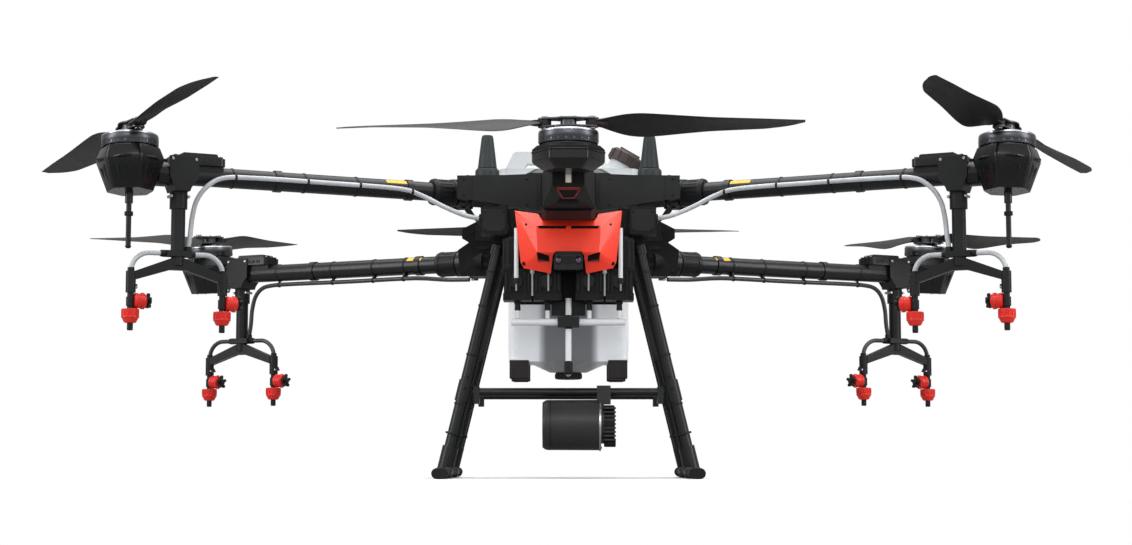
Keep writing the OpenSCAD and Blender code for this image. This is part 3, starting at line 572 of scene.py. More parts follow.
def make_hub(name):
    s = Shape(MOTOR[name])
    # Bell: dark rim, bright machined top edge, spoked top.
    s.lathe([(46, 0.6), (52.6, 1), (53.4, 3), (53.4, 8.5), (54, 9.5), (54, 20), (53.4, 21)])
    s.slot = 1
    s.lathe([(52.4, 21), (53.4, 21.2), (53.2, 23.6), (51, 25), (46.5, 25), (45.5, 22.8),
             (45.5, 21)], sides=64)
    s.slot = 0
    s.lathe([(45.2, 18), (45.2, 20.5), (24, 22.4), (23, 24.5), (20, 31.5)])
    for k in range(12):
        place = turned("Z", 30 * k)
        s.rings([[(x, y, z) for y, z in ((-w, low), (w, low), (w, high), (-w, high))]
                 for x, w, low, high in ((22, 3.2, 20, 25.5), (44.5, 1.8, 19, 23.8))], place)
    for k in range(24):
        s.block((53.2, -1.6, 3.5), (54.0, 1.6, 8.2), turned("Z", 15 * k))
    # Hub: two clamp plates held by a centre boss and the folding bolts.
    s.rod(14.5, 22, 48, sides=40)
    for z in (PLATE_Z, BLADE_Z + 5.5):
        s.prism(plate_outline(), z, z + 3)
    s.slot = 2
    for x in (-BOLT_REACH, BOLT_REACH):
        here = moved(x, 0, 0)
        s.lathe([(4, PLATE_Z - 3), (6.8, PLATE_Z - 2.6), (6.8, PLATE_Z), (4, PLATE_Z),
                 (4, 48.5), (6.4, 48.5), (6.4, 51.4), (5.4, 52), (3, 52), (2.6, 50.4)], here)
    for k in range(4):
        place = turned("Z", 45 + 90 * k)
        s.lathe([(1.4, 48.5), (2.6, 48.5), (2.6, 50), (2.1, 50.6), (1.2, 50.6), (1, 49.6)],
                place @ moved(16.5, 0, 0), sides=16)
    return s.build(f"rotor_hub_{name}_detail", f"rotor_{name}",
                   [MOTOR_METAL, BRIGHT_METAL, STEEL], bevel=0.5,
                   stands_for=[f"rotor_hub_{name}"])


def plate_outline():
    """A waisted bar with round ends, as the blade clamps have."""
    points = []
    for a in circle(72):
        reach = BOLT_REACH if math.cos(a) > 0 else -BOLT_REACH
        x, y = math.cos(a), math.sin(a)
        if abs(x) > 0.62:
            bend = math.cos(math.asin(min(1, abs(y) / 0.79)))
            points.append((reach + 12.5 * math.copysign(bend, x), 12.5 * y / 0.79))
        else:
            points.append((27 * x / 0.62, math.copysign(13 + 9 * (1 - (x / 0.62) ** 2), y)))
    return points


# ---- Assembly -------------------------------------------------------------

def carry_over():
    """CAD nodes whose shape is right keep it, with rounded edges and a real material."""
    finish = {
        "main_frame": (DEEP_BLACK, 1.2), "front_beam": (SATIN_BLACK, 1.5),
        "top_cover": (GLOSS_BLACK, 1.5), "front_cover": (COVER_RED, 1.0),
        "lamp_module": (GLOSS_BLACK, 1.2), "spray_pumps": (DEEP_BLACK, 1.0),
        "feed_manifold": (PIPE_WHITE, 0.4), "position_antennas": (ANTENNA_GREY, 0.8),
        "landing_legs": (CARBON, 0.5), "landing_skids": (RUBBER, 1.0),
        "cross_tubes": (CARBON, 0.6), "radar_unit": (RADAR_GREY, 0.6),
        "fold_pins": (STEEL, 0.6), "spray_tank": (TANK, 4.0), "tank_cap": (CAP_BROWN, 0.8),
        "battery": (BATTERY_GREY, 1.5), "nose_arm": (MATT_BLACK, 3.0),
        "tail_arm": (MATT_BLACK, 3.0),
    }
    for node, (material, bevel) in finish.items():
        refine(node, material, bevel)
    for name in ARM_NAMES:
        refine("arm_tube_" + name, CARBON, 0.6)
        refine("lock_collar_" + name, SATIN_BLACK, 1.2)
        refine("motor_pod_" + name, GLOSS_BLACK, 1.2)
        refine("spray_boom_" + name, SATIN_BLACK, 0.8)


# ---- Spray system ---------------------------------------------------------

BOOM = 845
SPREAD = 90
TEE_Z = -152.5
SOCKET_TOP = -189
SOCKET_LOW = -230
CAP_LOW = -288
VALVE_Z = -245.5
HOSE_R = 4.75
# The hoses' routes, in a side arm's frame.
FRONT_HOSE = [(246, -84, -60), (275, -74, -54), (310, -50, -36), (350, -32, -14),
              (400, -27, -2), (550, -27, 0), (700, -27, 0), (765, -27, -4), (796, -22, -22),
              (812, -10, -48), (818, -2, -80), (821, 0, -115), (825, 0, -144.5)]
REAR_HOSE = [(215, -46, -40), (270, -44, -38), (310, -34, -34), (350, -22, -30),
             (400, -14, -28), (550, -8, -28), (700, -4, -27), (760, -2, -28), (790, 0, -34),
             (808, 0, -52), (817, 0, -82), (820, 0, -115), (825, 0, -144.5)]


def hose_of(name):
    """The route, material and slot of an arm's hose."""
    if name[0] == "f":
        return FRONT_HOSE, HOSE_CLEAR, "hose_clear"
    return REAR_HOSE, HOSE_BLACK, "hose_black"


def make_hose(name):
    """The long hose from the airframe along the arm, curving near the airframe end."""
    s = Shape(ARM[name])
    route, material, slot = hose_of(name)
    s.tube(smooth_path(route, 10), HOSE_R, sides=20)
    hose = s.build("hose_long_" + name, None, [material],
                   stands_for=["spray_hose_" + name])
    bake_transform(hose)


def make_branches(name):
    """The two short hoses that arch from the tee down to the nozzle sockets."""
    s = Shape(ARM[name])
    drop = TEE_Z - SOCKET_TOP
    for side in (-1, 1):
        arch = [(BOOM + side * x, 0, TEE_Z) for x in (30, 38, 46)]
        arch += [(BOOM + side * (SPREAD - drop + drop * math.sin(a)), 0,
                  TEE_Z - drop + drop * math.cos(a))
                 for a in (math.pi / 2 * k / 12 for k in range(13))]
        s.tube(arch, HOSE_R, sides=20)
    s.slot = 1
    for side in (-1, 1):
        s.rod(6.4, 26, 34, moved(BOOM, 0, TEE_Z) @ turned("Y", 90 * side))
        s.rod(6.6, SOCKET_TOP - 1, SOCKET_TOP + 7, moved(BOOM + side * SPREAD, 0, 0))
    s.rod(7, -150, -138, moved(825, 0, 0))
    _, material, slot = hose_of(name)
    s.build("hose_branches_" + name, "arm_" + name, [material, SATIN_BLACK])


def make_nozzles(name):
    """Nozzle bodies with a ribbed cap, a dark tip, and a valve with its black star knob."""
    s = Shape(ARM[name])
    for side in (-1, 1):
        at = moved(BOOM + side * SPREAD, 0, 0)
        s.slot = 0
        s.lathe([(8, CAP_LOW), (11, CAP_LOW + 0.6), (13.6, CAP_LOW + 5), (15.4, CAP_LOW + 9),
                 (17, CAP_LOW + 10), (17, CAP_LOW + 13), (15.6, CAP_LOW + 14),
                 (16.6, CAP_LOW + 26), (15.8, CAP_LOW + 27)], at)
        for k in range(12):
            s.block((14.4, -1.1, CAP_LOW + 14), (17.2, 1.1, CAP_LOW + 25.5), at @ turned("Z", 30 * k))
        valve = at @ moved(0, 0, VALVE_Z) @ turned("Y", -90)
        s.lathe([(6, 5), (13.5, 6.4), (15, 8.5), (15, 13), (14, 14), (14, 18), (15, 19),
                 (15, 25), (13, 28.5), (8, 29.2)], valve)
        for k in range(8):
            s.block((13, -1.6, 20), (15.8, 1.6, 26.5), valve @ turned("Z", 45 * k))
        s.slot = 1
        s.rod(6.2, SOCKET_LOW - 31, SOCKET_LOW + 4, at)
        s.rod(8.2, SOCKET_LOW - 26, SOCKET_LOW - 8, at)
        s.lathe([(3.6, CAP_LOW - 14), (5.4, CAP_LOW - 13.5), (5.7, CAP_LOW - 11),
                 (5.7, CAP_LOW + 2)], at)
        s.rod(8.4, 27, 33, valve)
        s.rod(6.2, 32, 40.5, valve, round_by=1.5)
        for k in range(5):
            lobe = valve @ turned("Z", 72 * k)
            s.block((0, -2.6, 31.6), (12, 2.6, 37.4), lobe)
            s.rod(3.4, 31.4, 37.6, lobe @ moved(12, 0, 0), sides=16)
        s.slot = 2
        s.rod(2.6, -9, 9, at @ moved(-9, 0, SOCKET_LOW + 10) @ turned("X", 90),
              sides=6)
    s.build("nozzles_" + name, "arm_" + name, [NOZZLE_RED, SATIN_BLACK, STEEL], bevel=0.4,
            stands_for=["nozzle_set_" + name])


# ---- Side arm details -----------------------------------------------------

TUBE_R = 19
MOTOR_REACH = 941.5
COLLAR_START = 264
COLLAR_LEN = 52
ESC_START = 758
ESC_LEN = 108


def ring_x(s, arm_x, radius, width, round_by=0.5):
    """A band round the arm tube."""
    s.rod(radius, 0, width, moved(arm_x, 0, 0) @ turned("Y", 90), sides=40,
          round_by=round_by)


def make_arm_trim(name):
    """Cable ties, cable guides, warning stripe and the bolts of the boom clamp."""
    front = name[0] == "f"
    s = Shape(ARM[name])
    hose = smooth_path(hose_of(name)[0], 10)
    for x in (368 if front else 398, 480, 590, 738):
        ring_x(s, x, TUBE_R + 1.2, 4.5)
        near = min(hose, key=lambda p: abs(p.x - x - 2))
        s.rod(HOSE_R + 1.4, 0, 4.5, moved(x, near.y, near.z) @ turned("Y", 90),
              sides=24)
        s.block((x, min(near.y, 0), near.z - 2 if near.z > -15 else near.z),
                (x + 4.5, max(near.y, 0.1), near.z + 2 if near.z > -15 else -12))
    s.block((ESC_START + 4, -17, 7), (ESC_START + ESC_LEN, 17, 20))
    for side in (-1, 1):
        s.rings([[(x, side * 26 + y, z) for x, y in ((-w, -1.4), (w, -1.4), (w, 1.4), (-w, 1.4))]
                 for w, z in ((10, -32), (28, -8), (29, 34))], moved(BOOM - 3, 0, 0))
    s.slot = 1
    for x in (BOOM - 26, BOOM + 20):
        for y in (-28, 28):
            s.rod(3, -1.4, 1.4, moved(x, y, 28) @ turned("X", 90), sides=20)
    for x in (-17, 17):
        s.rod(3, -12, 12, moved(BOOM + x, 0, -42) @ turned("X", 90), sides=20)
    s.slot = 2
    # A warning label laid over the upper front of the tube.
    near, far = (376, 420) if front else (356, 392)
    patch = [(-(TUBE_R + 0.5) * math.sin(a), (TUBE_R + 0.5) * math.cos(a))
             for a in (math.radians(28 + 6 * k) for k in range(6))]
    s.rings([[(x, y, z) for y, z in patch] + [(x, 0.94 * y, 0.94 * z) for y, z in patch[::-1]]
             for x in (near, far)])
    s.build("arm_trim_" + name, "arm_" + name, [SATIN_BLACK, STEEL, STRIPE_YELLOW], bevel=0.3)
    # Raised grips round the lock collar.
    s = Shape(ARM[name])
    for k in range(20):
        s.block((COLLAR_START + 11, -1.3, 25.4), (COLLAR_START + COLLAR_LEN - 12, 1.3, 26.9),
                turned("X", 18 * k))
    s.build("collar_grips_" + name, "collar_" + name, [SATIN_BLACK], bevel=0.4)
    if front:
        s = Shape(ARM[name])
        s.rod(5.6, -146, -139, moved(MOTOR_REACH, 0, 0), round_by=2.4)
        s.rod(8.2, -84, -76, moved(MOTOR_REACH, 0, 0))
        s.build("rod_antenna_tip_" + name, "arm_" + name, [RUBBER])


def make_controller_trim(name):
    """Lid, screws, cooling slots and status lamp of the finned speed controller."""
    s = Shape(ARM[name] @ moved(ESC_START, 0, TUBE_R + 0.1))
    for k in range(7):
        s.block((18, -19.6 + 6 * k, 21), (84, -17.4 + 6 * k, 23.4))
    for side in (-1, 1):
        for k in range(5):
            s.block((22 + 13 * k, side * 25 - 0.8, 4), (31 + 13 * k, side * 25 + 0.8, 11))
    s.slot = 1
    for x in (9, ESC_LEN - 9):
        for y in (-17, 17):
            s.lathe([(1, 17.6), (3, 17.8), (3, 19), (2.4, 19.6), (1.2, 19.6), (1, 18.8)],
                    moved(x, y, 0), sides=18)
    s.slot = 2
    s.rod(2, 17.6, 19.2, moved(9, 0, 0), sides=16)
    s.build("controller_trim_" + name, "arm_" + name, [SATIN_BLACK, STEEL, LAMP_WHITE], bevel=0.3)


STATOR = [(40, -2.2), (49.4, -2), (49.4, -0.3), (40, -0.2)]


def pod_ring(r, z):
    """A rounded six-sided ring round a motor axis, corners on X."""
    ring = []
    for k in range(6):
        for d in (-30, -15, 0, 15, 30):
            a, b = math.radians(60 * k), math.radians(60 * k + d)
            ring.append(((r - 10) * math.cos(a) + 10 * math.cos(b),
                         (r - 10) * math.sin(a) + 10 * math.sin(b), z))
    return ring


def make_pod_trim(name):
    """Seam bead round the pod, its side panels, and the stator ring under the bell."""
    along = Vector(JOINTS["collar_slide_" + name]["axis"])
    up = Vector(JOINTS["rotor_spin_" + name]["axis"])
    along = (along - along.dot(up) * up).normalized()
    s = Shape(axes(MOTOR[name].translation, along, up.cross(along), up))
    s.rings([pod_ring(64.6, -28.4), pod_ring(65.2, -27.4), pod_ring(65.2, -25.6),
             pod_ring(64.6, -24.6)])
    for k in range(6):
        at = turned("Z", 60 * k + 30)
        s.rings([[(r, -w, z), (r, w, z), (r - 3, w, z), (r - 3, -w, z)]
                 for r, w, z in ((41.4, 14, -72), (51.8, 20, -43.5), (54.6, 14, -36))], at)
    s.slot = 1
    s.lathe(STATOR, sides=56)
    s.slot = 2
    for k in range(6):
        s.rod(2.4, -85, -83.2, turned("Z", 60 * k + 30) @ moved(30, 0, 0), sides=16)
    s.build("pod_trim_" + name, "arm_" + name, [GLOSS_BLACK, MOTOR_METAL, STEEL], bevel=0.6)


# ---- Nose and tail details ------------------------------------------------

def make_end_trim(name):
    """Lamp window, trim, screws and hinge covers of the nose and tail arms, and their pods."""
    s = Shape(END[name])
    s.slot = 1
    s.rings([[(-w, y, z), (w, y, z), (w, y - 4, z), (-w, y - 4, z)]
             for w, y, z in ((5.4, 641.2, 534), (5.4, 641.2, 562))])
    s.slot = 0
    for x0, x1, z0, z1 in ((-8, -5.4, 532, 564), (5.4, 8, 532, 564), (-8, 8, 562, 565),
                           (-8, 8, 531, 534)):
        s.block((x0, 636, z0), (x1, 641.8, z1))
    s.rod(4.2, -48, 48, moved(0, 336, 575) @ turned("Y", 90), round_by=1.5)
    for x in (-49.6, 47.6):
        s.block((x, 316, 514), (x + 2, 334, 536))
    if name == "nose":
        s.slot = 2
        lip = [(-25, 530), (-10, 509), (10, 509), (25, 530)]
        for (x0, z0), (x1, z1) in zip(lip, lip[1:] + lip[:1]):
            depth = [618 + (z - 508) * 0.85 for z in (z0, z1)]
            s.tube([(x0, depth[0], z0), ((x0 + x1) / 2, sum(depth) / 2, (z0 + z1) / 2),
                    (x1, depth[1], z1)], 1.5, sides=10)
        s.rings([[(-w, y, z), (w, y, z), (w, y - 3, z), (-w, y - 3, z)]
                 for w, y, z in ((18, 632.5, 522), (23, 637.5, 529))])
    s.slot = 3
    for x in (-36, 36):
        for y in (352, 452):
            s.lathe([(1, 0), (3.2, 0.1), (3.2, 1.2), (2.6, 1.8), (1.4, 1.8), (1.2, 1)],
                    moved(x, y, 570 if y < 400 else 573), sides=18)
    s.build("arm_trim_" + name, name, [SATIN_BLACK, LAMP_WHITE, TRIM_RED, STEEL], bevel=0.4)
    # The pod's upright wall and its tapered underside, the seam bead and the stator ring.
    s = Shape(MOTOR[name] @ turned("Z", 4 if name == "nose" else 0))
    s.rings([pod_ring(44, -47), pod_ring(62, -35), pod_ring(65, -31), pod_ring(65.2, -17),
             pod_ring(60, -16)])
    s.rings([pod_ring(65.5, -16), pod_ring(66.1, -15), pod_ring(66.1, -13.4),
             pod_ring(65.5, -12.4)])
    s.slot = 1
    s.lathe(STATOR, sides=56)
    s.build("pod_trim_" + name, name, [GLOSS_BLACK, MOTOR_METAL], bevel=0.5)


# ---- Airframe details -----------------------------------------------------

def screw(s, at, radius=3.4, turn=None):
    """A socket-head screw standing 2 mm proud of a face that looks along Z."""
    m = Matrix.Translation(at)
    if turn:
        m = m @ turn
    s.lathe([(radius - 0.2, -1), (radius, 0), (radius, 1.6), (radius - 0.5, 2.1),
             (radius * 0.55, 2.1), (radius * 0.45, 0.6)], m, sides=20)


FRONTWARD = turned("X", 90)


def make_cover_trim():
    """Cover screws, and near-black strips, bars and sheets in and behind the slots and vents, painted
    shade of the hollows behind them.
    """
    s = Shape(AIR)
    for side in (-1, 1):
        for x, z, y in ((84, 503, -250.5), (88, 426, -245)):
            screw(s, (side * x, y, z), 4.4, FRONTWARD)
    # Painted shade: dark pieces fill the slots and vents, where the hollows behind them lie in shade.
    s.slot = 1
    for side in (-1, 1):
        s.block((side * 4, -263, 490), (side * 62, -261.5, 501))
        for k in range(6):
            x = side * (39 + 4.2 * k)
            s.block((x - 0.8, -262, 428), (x + 0.8, -250, 446))
        s.block((side * 36, -249, 427), (side * 64, -247.5, 448))
    s.build("cover_trim", "airframe", [BLACK_STEEL, SLOT_SHADE_BLACK], bevel=0.3)


def make_lamp_trim():
    """Two lenses in raised rims, with a sensor bar between them."""
    s = Shape(AIR)
    for x in (-20, 20):
        at = moved(x, -283, 429) @ FRONTWARD
        s.slot = 0
        s.lathe([(8, -1), (8.9, 0), (8.9, 2.4), (8.2, 3), (7.3, 3), (6.6, 1.2), (6.4, 0.2)], at)
        s.slot = 1
        s.lathe([(6.6, 0), (6.4, 0.9), (5.2, 1.6), (3, 2.1), (0.1, 2.3)], at)
    s.slot = 0
    s.block((-10, -285.2, 422), (10, -283.4, 436))
    s.block((-24, -284.8, 441), (24, -283.4, 443.5))
    s.build("lamp_trim", "airframe", [SATIN_BLACK, LENS], bevel=0.4)


PUMP_X = (-102, -42, 42, 102)
PIPE_Y = -204


def make_pump_trim():
    """Pump heads with plates, bolts, tubes and barbs; pump motors; fittings of the pipes."""
    s = Shape(AIR)
    for x in PUMP_X:
        here = moved(x, 0, 0)
        s.slot = 0
        s.block((-24, -232, 372), (-20, -229, 408), here)
        s.block((20, -232, 372), (24, -229, 408), here)
        s.lathe([(11, 0), (14, 0.4), (14, 3.4), (12.6, 4.4), (3, 4.4)],
                here @ moved(-3, -229, 392) @ FRONTWARD)
        s.lathe([(4.8, 335), (5.9, 336), (5.9, 341), (5.6, 342), (5.6, 348), (7.2, 349),
                 (7.2, 353), (5.6, 354), (5.6, 356)], here @ moved(0, PIPE_Y, 0),
                sides=24)
        s.slot = 1
        for bolt_x in (-22, 22):
            for z in (361, 413):
                y = -233 if z < 400 else -229
                screw(s, (x + bolt_x, y, z), 2.6, FRONTWARD)
    s.slot = 2
    for x in (-72, 72):
        s.lathe([(1.6, 362), (1.8, 363), (1.8, 404), (4.6, 408), (4.6, 418), (3.4, 420)],
                moved(x, -236, 0), sides=20)
    for x in (-40, 40, -104, 104):
        s.lathe([(1.4, 372), (1.8, 373), (1.8, 420), (1.4, 421)],
                moved(x, -236.4, 0), sides=16)
    s.build("pump_trim", "airframe", [SATIN_BLACK, BLACK_STEEL, PIPE_GREY], bevel=0.4)
    # Dark cheeks between the cover and the legs, with the pump motors' ribs and leads.
    s = Shape(AIR)
    for side in (-1, 1):
        for outer, low, high in ((130, 420, 489), (124, 488, 545)):
            s.prism([(side * 101, -171), (side * outer, -171), (side * outer, -165.5),
                     (side * 101, -165.5)][::side], low, high)
        at = moved(side * 112, -196, 0)
        s.lathe([(19, 419), (20.4, 420), (20.4, 426), (19.6, 427), (19.6, 470), (20.4, 471),
                 (20.4, 478), (18, 481), (9, 481.4), (8, 485)], at)
        for k in range(10):
            s.block((19.2, -0.8, 430), (20.8, 0.8, 467), at @ turned("Z", 36 * k))
        for dx in (-5, 5):
            lead = [(side * 112 + dx, -196, 480), (side * 112 + dx, -199, 489),
                    (side * 116 + dx, -203, 500), (side * 119 + dx, -202, 512)]
            s.tube(smooth_path(lead, 5), 2.2, sides=10)
    s.build("pump_motors", "airframe", [DEEP_BLACK], bevel=0.5)
    # Black collars on the white pipes, and elbows on the two upright hoses.
    s = Shape(AIR)
    s.block((-21.6, PIPE_Y - 12.6, 301.4), (21.6, PIPE_Y + 12.6, 322.6))
    for x in (-104, 104):
        s.rod(5.4, 386, 398, moved(x, -233.7, 0))
    s.rod(8.4, 207, 234, moved(0, PIPE_Y, 0), round_by=2)
    s.rod(7.4, -216, -180, moved(0, 0, 216) @ turned("X", -90))
    s.rod(7.6, 298, 303, moved(0, PIPE_Y, 0))
    s.rod(7.6, 321, 326, moved(0, PIPE_Y, 0))
    s.block((-34, -195, 326), (34, -176, 354))
    for side in (-1, 1):
        s.block((side * 24, -197, 330), (side * 31, -194, 350))
    s.build("pipe_fittings", "airframe", [SATIN_BLACK], bevel=0.5)


def make_tank_trim():
    """Rubber feet, drain plug and level marks of the tank."""
    s = Shape(AIR)
    for side in (-1, 1):
        for y in (-64, 74):
            s.block((side * 82, y - 1, 205), (side * 122, y + 39, 243))
            s.block((side * 86, y + 3, 203.5), (side * 118, y + 35, 206))
    s.lathe([(22, 206), (27, 206.6), (27.6, 208), (27.6, 218), (26, 221.5)],
            moved(0, 24, 0))
    for k in range(12):
        s.block((26, -2.2, 208), (28.8, 2.2, 218), moved(0, 24, 0) @ turned("Z", 30 * k))
    s.build("tank_feet", "tank", [FOOT_GREY], bevel=1.2)
    s = Shape(AIR)
    for side in (-1, 1):
        for k in range(9):
            z, reach = 262 + 24 * k, 9 if k % 2 else 15
            s.block((side * 114, -65, z), (side * (114 - reach), -63.4, z + 1.6))
        for y in (-20, 70):
            s.block((side * 123.4, y - 9, 262), (side * 125.6, y + 9, 470))
    s.build("tank_marks", "tank", [TANK], bevel=0.5)


LEG_Y = 110
LEG_LEAN = 13.57
SKID_X = 252
SHOE_Y = 257


def leg_x(z):
    """How far out a leg's axis is at height z."""
    return 255.7 - 0.2414 * z


def make_leg_trim():
    """Cables down the legs with their ties, clamp screws and skid saddles."""
    s = Shape(AIR)
    for side in (-1, 1):
        for y in (-LEG_Y, LEG_Y):
            run = [(side * (leg_x(z) - 13.6), y - 6 * (1 if y < 0 else -1), z)
                   for z in (60, 120, 165, 215, 300, 380, 445)]
            s.tube(smooth_path(run, 4), 2.6, sides=12)
            for z in (90, 150, 250, 350, 420):
                lean = moved(side * leg_x(z), y, z) @ turned("Y", -LEG_LEAN * side)
                s.rod(14.4 if z > 100 else 17.4, -2.2, 2.2, lean, sides=36)
            # Saddle that holds the leg on its skid.
            s.rings([[(side * SKID_X + x, y + d, z) for x, d in ((-w, -l), (w, -l), (w, l), (-w, l))]
                     for w, l, z in ((15.8, 30, 8), (15.8, 30, 17), (14, 24, 22.5))])
    s.slot = 1
    for side in (-1, 1):
        for y in (-LEG_Y, LEG_Y):
            for d in (-22, 22):
                screw(s, (side * SKID_X, y + d, 22), 3.4)
            for z in (182, 206, 484):
                screw(s, (side * (leg_x(min(z, 470)) - 1), y - 16 if y < 0 else y + 16, min(z, 466)),
                      2.6, turned("X", 90 if y < 0 else -90))
    s.build("leg_trim", "airframe", [SATIN_BLACK, BLACK_STEEL], bevel=0.4)
    # Grooved soles of the four rubber shoes.
    s = Shape(AIR)
    for side in (-1, 1):
        for y in (-SHOE_Y, SHOE_Y):
            for k in range(4):
                s.rings([[(side * SKID_X + x, y - 15 + 10 * k + d, z) for d, x, z in
                          ((-1.6, w, h), (1.6, w, h), (1.6, w, h + 1), (-1.6, w, h + 1))]
                         for w, h in ((-15.2, 14.5), (-8, 20.3), (8, 20.3), (15.2, 14.5))])
    s.build("shoe_ribs", "airframe", [RUBBER], bevel=0.3)


def make_radar_trim():
    """Pale rim of the drum, seam, connector and the screws of its end plate."""
    s = Shape(AIR @ moved(0, -110, 108) @ turned("Y", 90))
    s.lathe([(50, 61.5), (52.8, 62), (53, 63), (53, 65.6), (52.4, 66.2), (50, 66.2)], sides=72)
    s.slot = 1
    s.lathe([(50.6, -38), (51.6, -37.6), (51.6, -36.4), (50.8, -36)], sides=72)
    for k in range(8):
        screw(s, (46 * math.cos(math.pi * k / 4), 46 * math.sin(math.pi * k / 4), 66), 2.6)
    s.slot = 2
    s.lathe([(39, 72), (40.4, 73), (40.4, 92), (39, 94), (12, 94.6)], sides=64)
    s.rod(9, 72, 96, moved(36, -20, 0), round_by=1.5)
    s.build("radar_trim", "airframe", [BRIGHT_METAL, SATIN_BLACK, RUBBER], bevel=0.3)


def make_frame_trim():
    """Bracket ribs, seams, antenna rings, plate bolts, junction-box lids and cable looms."""
    s = Shape(AIR)
    for side in (-1, 1):
        # Rounded ribs of the nose arm's bracket, and a thin seam near the beam's end.
        for x in (63, 196):
            s.rings([[(side * x + a, -180.4 + b, z) for a, b in ((-1.2, 1.4), (1.2, 1.4), (0.8, -0.8),
                                                                 (-0.8, -0.8))]
                     for z in (562 if x > 100 else 546, 610)])
        for z in (618, 634):
            s.lathe([(25.3, z - 2.4), (26, z - 2), (26, z - 0.6), (25.2, z)] if z < 630 else
                    [(19.8, z - 1), (20.6, z - 0.6), (20.6, z + 0.6), (19.6, z + 1)],
                    moved(side * 167, -122, 0), sides=44)
        s.block((side * 127, -201.4, 496), (side * 173, -199.6, 540))
        # Gland where the front hose leaves the junction box.
        s.lathe([(9, 0), (9.4, 0.6), (9.4, 3), (8, 4)],
                moved(side * 177, -185, 523) @ turned("Y", 90 * side))
        # Looms from the beam down behind the junction box.
        for k in range(3):
            y = -160 + 12 * k
            loom = [(side * 196, y, 566), (side * (202 + 4 * k), y - 4, 548), (side * 190, y, 528),
                    (side * 178, y, 516)]
            s.tube(smooth_path(loom, 6), 3.1, sides=12)
        # Hinge plate and ribs of the rear arm bracket.
        s.block((side * 168, 76.6, 506), (side * 200, 78.2, 540))
        for z in (452, 470, 488):
            s.block((side * 172, 76.4, z), (side * 196, 78.2, z + 6))
    s.slot = 1
    for side in (-1, 1):
        for x, z in ((84, 605), (84, 552), (212, 605), (212, 572)):
            screw(s, (side * x, -180.6, z), 2.2, FRONTWARD)
        for x in (131, 169):
            for z in (500, 536):
                screw(s, (side * x, -201.2, z), 2.6, FRONTWARD)
        for x, z in ((160, 536), (206, 524), (180, 440), (224, 440)):
            screw(s, (side * x, 77.8, z), 3, FRONTWARD)
        for y in (-60, 20, 150, 210, 280):
            screw(s, (side * 139, y, 503), 3.4)
        for x in (96, 205):
            for y in (-168, -82):
                screw(s, (side * x, y, 612.2), 3.2)
    for x in (-66, 66):
        for y in (-158, -94):
            screw(s, (x, y, 621.5), 2.8)
    s.build("frame_trim", "airframe", [SATIN_BLACK, BLACK_STEEL], bevel=0.4)


def make_battery_trim():
    """Handle grip, vents, charge lamps and contacts of the battery."""
    s = Shape(AIR)
    s.rod(9, -52, 52, moved(0, 177.5, 587) @ turned("Y", 90), round_by=3)
    for k in range(8):
        s.block((-62 + 16 * k, 239.4, 360), (-54 + 16 * k, 241, 400))
    s.block((-70, 239.4, 420), (70, 241, 520))
    s.slot = 1
    for k in range(4):
        s.rod(2.2, -0.4, 1.6, moved(-24 + 16 * k, 152, 559), sides=16)
    s.slot = 2
    for x in (-78, 78):
        for y in (132, 228):
            screw(s, (x, y, 558), 3)
    s.build("battery_trim", "battery_pack", [SATIN_BLACK, LAMP_WHITE, STEEL], bevel=0.6)


def for_camera(tree, others, seen, target):
    """Gives the camera one shader, and every other ray of light the other."""
    chooser = tree.nodes.new("ShaderNodeMixShader")
    rays = tree.nodes.new("ShaderNodeLightPath")
    for source, socket in ((rays.outputs["Is Camera Ray"], chooser.inputs[0]),
                           (others, chooser.inputs[1]), (seen, chooser.inputs[2]),
                           (chooser.outputs[0], target)):
        tree.links.new(source, socket)


def floor_white():
    """Matt white that fades, away from the object, into the white of the surround."""
    n = Nodes("floor_white")
    n.fix({"Base Color": (0.8, 0.8, 0.8, 1), "Roughness": 0.7})
    n.feed(n.bump(n.noise(30, 4), 0.02), "Normal")
    spread = n.new("ShaderNodeTexGradient", gradient_type="SPHERICAL")
    n.link(n.mapped((0.32, 0.42, 1)), spread.inputs["Vector"])
    glow = n.new("ShaderNodeEmission")
    glow.inputs["Strength"].default_value = 1.0
    glow.inputs["Color"].default_value = (1, 1, 1, 1)
    blend = n.new("ShaderNodeMixShader")
    n.link(n.ramp(spread.outputs["Fac"], [(0.0, 0.0), (0.55, 1.0)], smooth=True), blend.inputs[0])
    n.link(glow.outputs[0], blend.inputs[1])
    n.link(n.shader.outputs[0], blend.inputs[2])
    # The floor sends little light back up, so that undersides stay dark.
    dull = n.new("ShaderNodeBsdfDiffuse")
    dull.inputs["Color"].default_value = (0.3, 0.3, 0.3, 1)
    for_camera(n.tree, dull.outputs[0], blend.outputs[0],
               n.tree.nodes["Material Output"].inputs["Surface"])
    return n.material


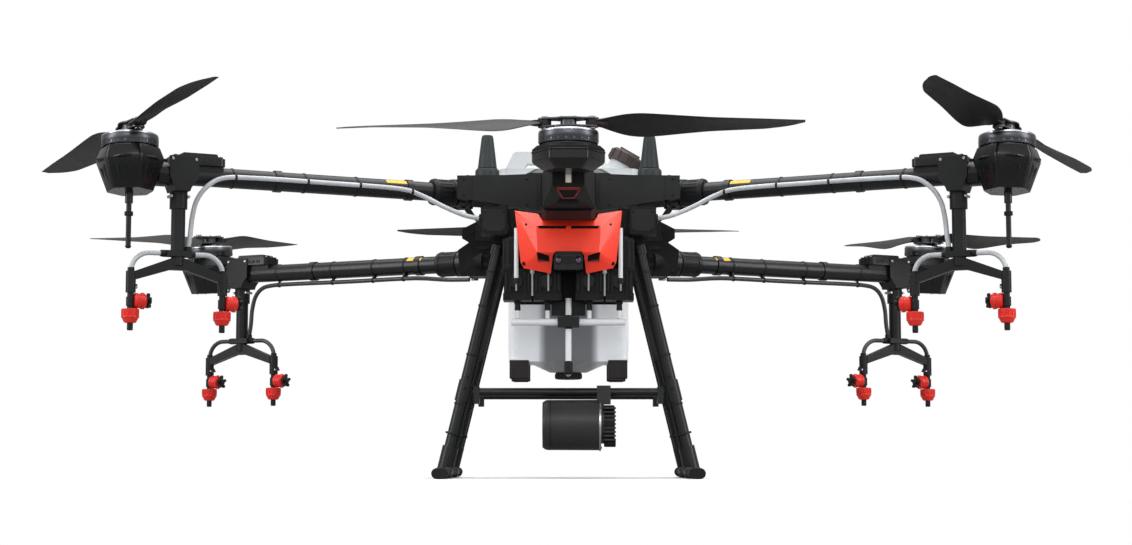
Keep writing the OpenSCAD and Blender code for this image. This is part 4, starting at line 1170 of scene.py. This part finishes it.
def studio():
    """A white floor, soft light from above and both sides, and a white surround."""
    floor = bpy.data.meshes.new("floor")
    reach = 40
    floor.from_pydata([(-reach, -reach, -0.0005), (reach, -reach, -0.0005),
                       (reach, reach, -0.0005), (-reach, reach, -0.0005)], [], [(0, 1, 2, 3)])
    obj = put("floor", floor)
    floor.materials.append(floor_white())
    world = bpy.data.worlds.new("surround")
    world.use_nodes = True
    tree = world.node_tree
    light = tree.nodes["Background"]
    light.inputs["Color"].default_value = (1, 1, 1, 1)
    coordinates = tree.nodes.new("ShaderNodeTexCoord")
    split = tree.nodes.new("ShaderNodeSeparateXYZ")
    tree.links.new(coordinates.outputs["Generated"], split.inputs["Vector"])
    height = tree.nodes.new("ShaderNodeMapRange")
    for socket, value in zip(height.inputs[1:5], (-1.0, 0.3, 1.3, 0.52)):
        socket.default_value = value
    tree.links.new(split.outputs["Y"], height.inputs[0])
    tree.links.new(height.outputs[0], light.inputs["Strength"])
    seen = tree.nodes.new("ShaderNodeBackground")
    seen.inputs["Color"].default_value = (1, 1, 1, 1)
    seen.inputs["Strength"].default_value = 1.0
    for_camera(tree, light.outputs[0], seen.outputs[0],
               tree.nodes["World Output"].inputs["Surface"])
    bpy.context.scene.world = world
    bpy.context.scene.view_settings.view_transform = "Standard"
    lights = [("top", (0, 0.2, 3.6), (4.5, 3.0), 150), ("left", (-3.6, -1.6, 1.7), (1.0, 2.6), 60),
              ("right", (3.6, -1.6, 1.7), (1.0, 2.6), 60), ("front", (0, -5.2, 3.0), (3.2, 1.4), 60)]
    for name, place, size, power in lights:
        data = bpy.data.lights.new("soft_" + name, "AREA")
        data.shape = "RECTANGLE"
        data.size, data.size_y = size
        data.energy = power
        lamp = put("soft_" + name, data)
        lamp.location = place
        aim = Vector((0, 0, 0.4)) - Vector(place)
        lamp.rotation_euler = aim.to_track_quat("-Z", "Y").to_euler()


CAMERA_AWAY = 4.26
CAMERA_HEIGHT = 0.037
CAMERA_PITCH = 90 + 5.28
CAMERA_YAW = 0.07
LENS_MM = 64.5


def camera():
    """Low and level with the skids, looking slightly up at the middle of the drone."""
    data = bpy.data.cameras.new("camera")
    data.sensor_width = 36
    data.lens = LENS_MM
    data.clip_end = 200
    cam = put("camera", data)
    cam.location = (0, CENTRE_Y - CAMERA_AWAY, CAMERA_HEIGHT)
    cam.rotation_euler = (math.radians(CAMERA_PITCH), 0, math.radians(CAMERA_YAW))
    bpy.context.scene.camera = cam


camera()
studio()
carry_over()
for motor in END_NAMES + ARM_NAMES:
    make_hub(motor)
    for letter in "ab":
        make_blade(motor, letter)
for arm in ARM_NAMES:
    make_hose(arm)
    make_branches(arm)
    make_nozzles(arm)
    make_arm_trim(arm)
    make_controller_trim(arm)
    make_pod_trim(arm)
for end in END_NAMES:
    make_end_trim(end)
make_cover_trim()
make_lamp_trim()
make_pump_trim()
make_tank_trim()
make_leg_trim()
make_radar_trim()
make_frame_trim()
make_battery_trim()
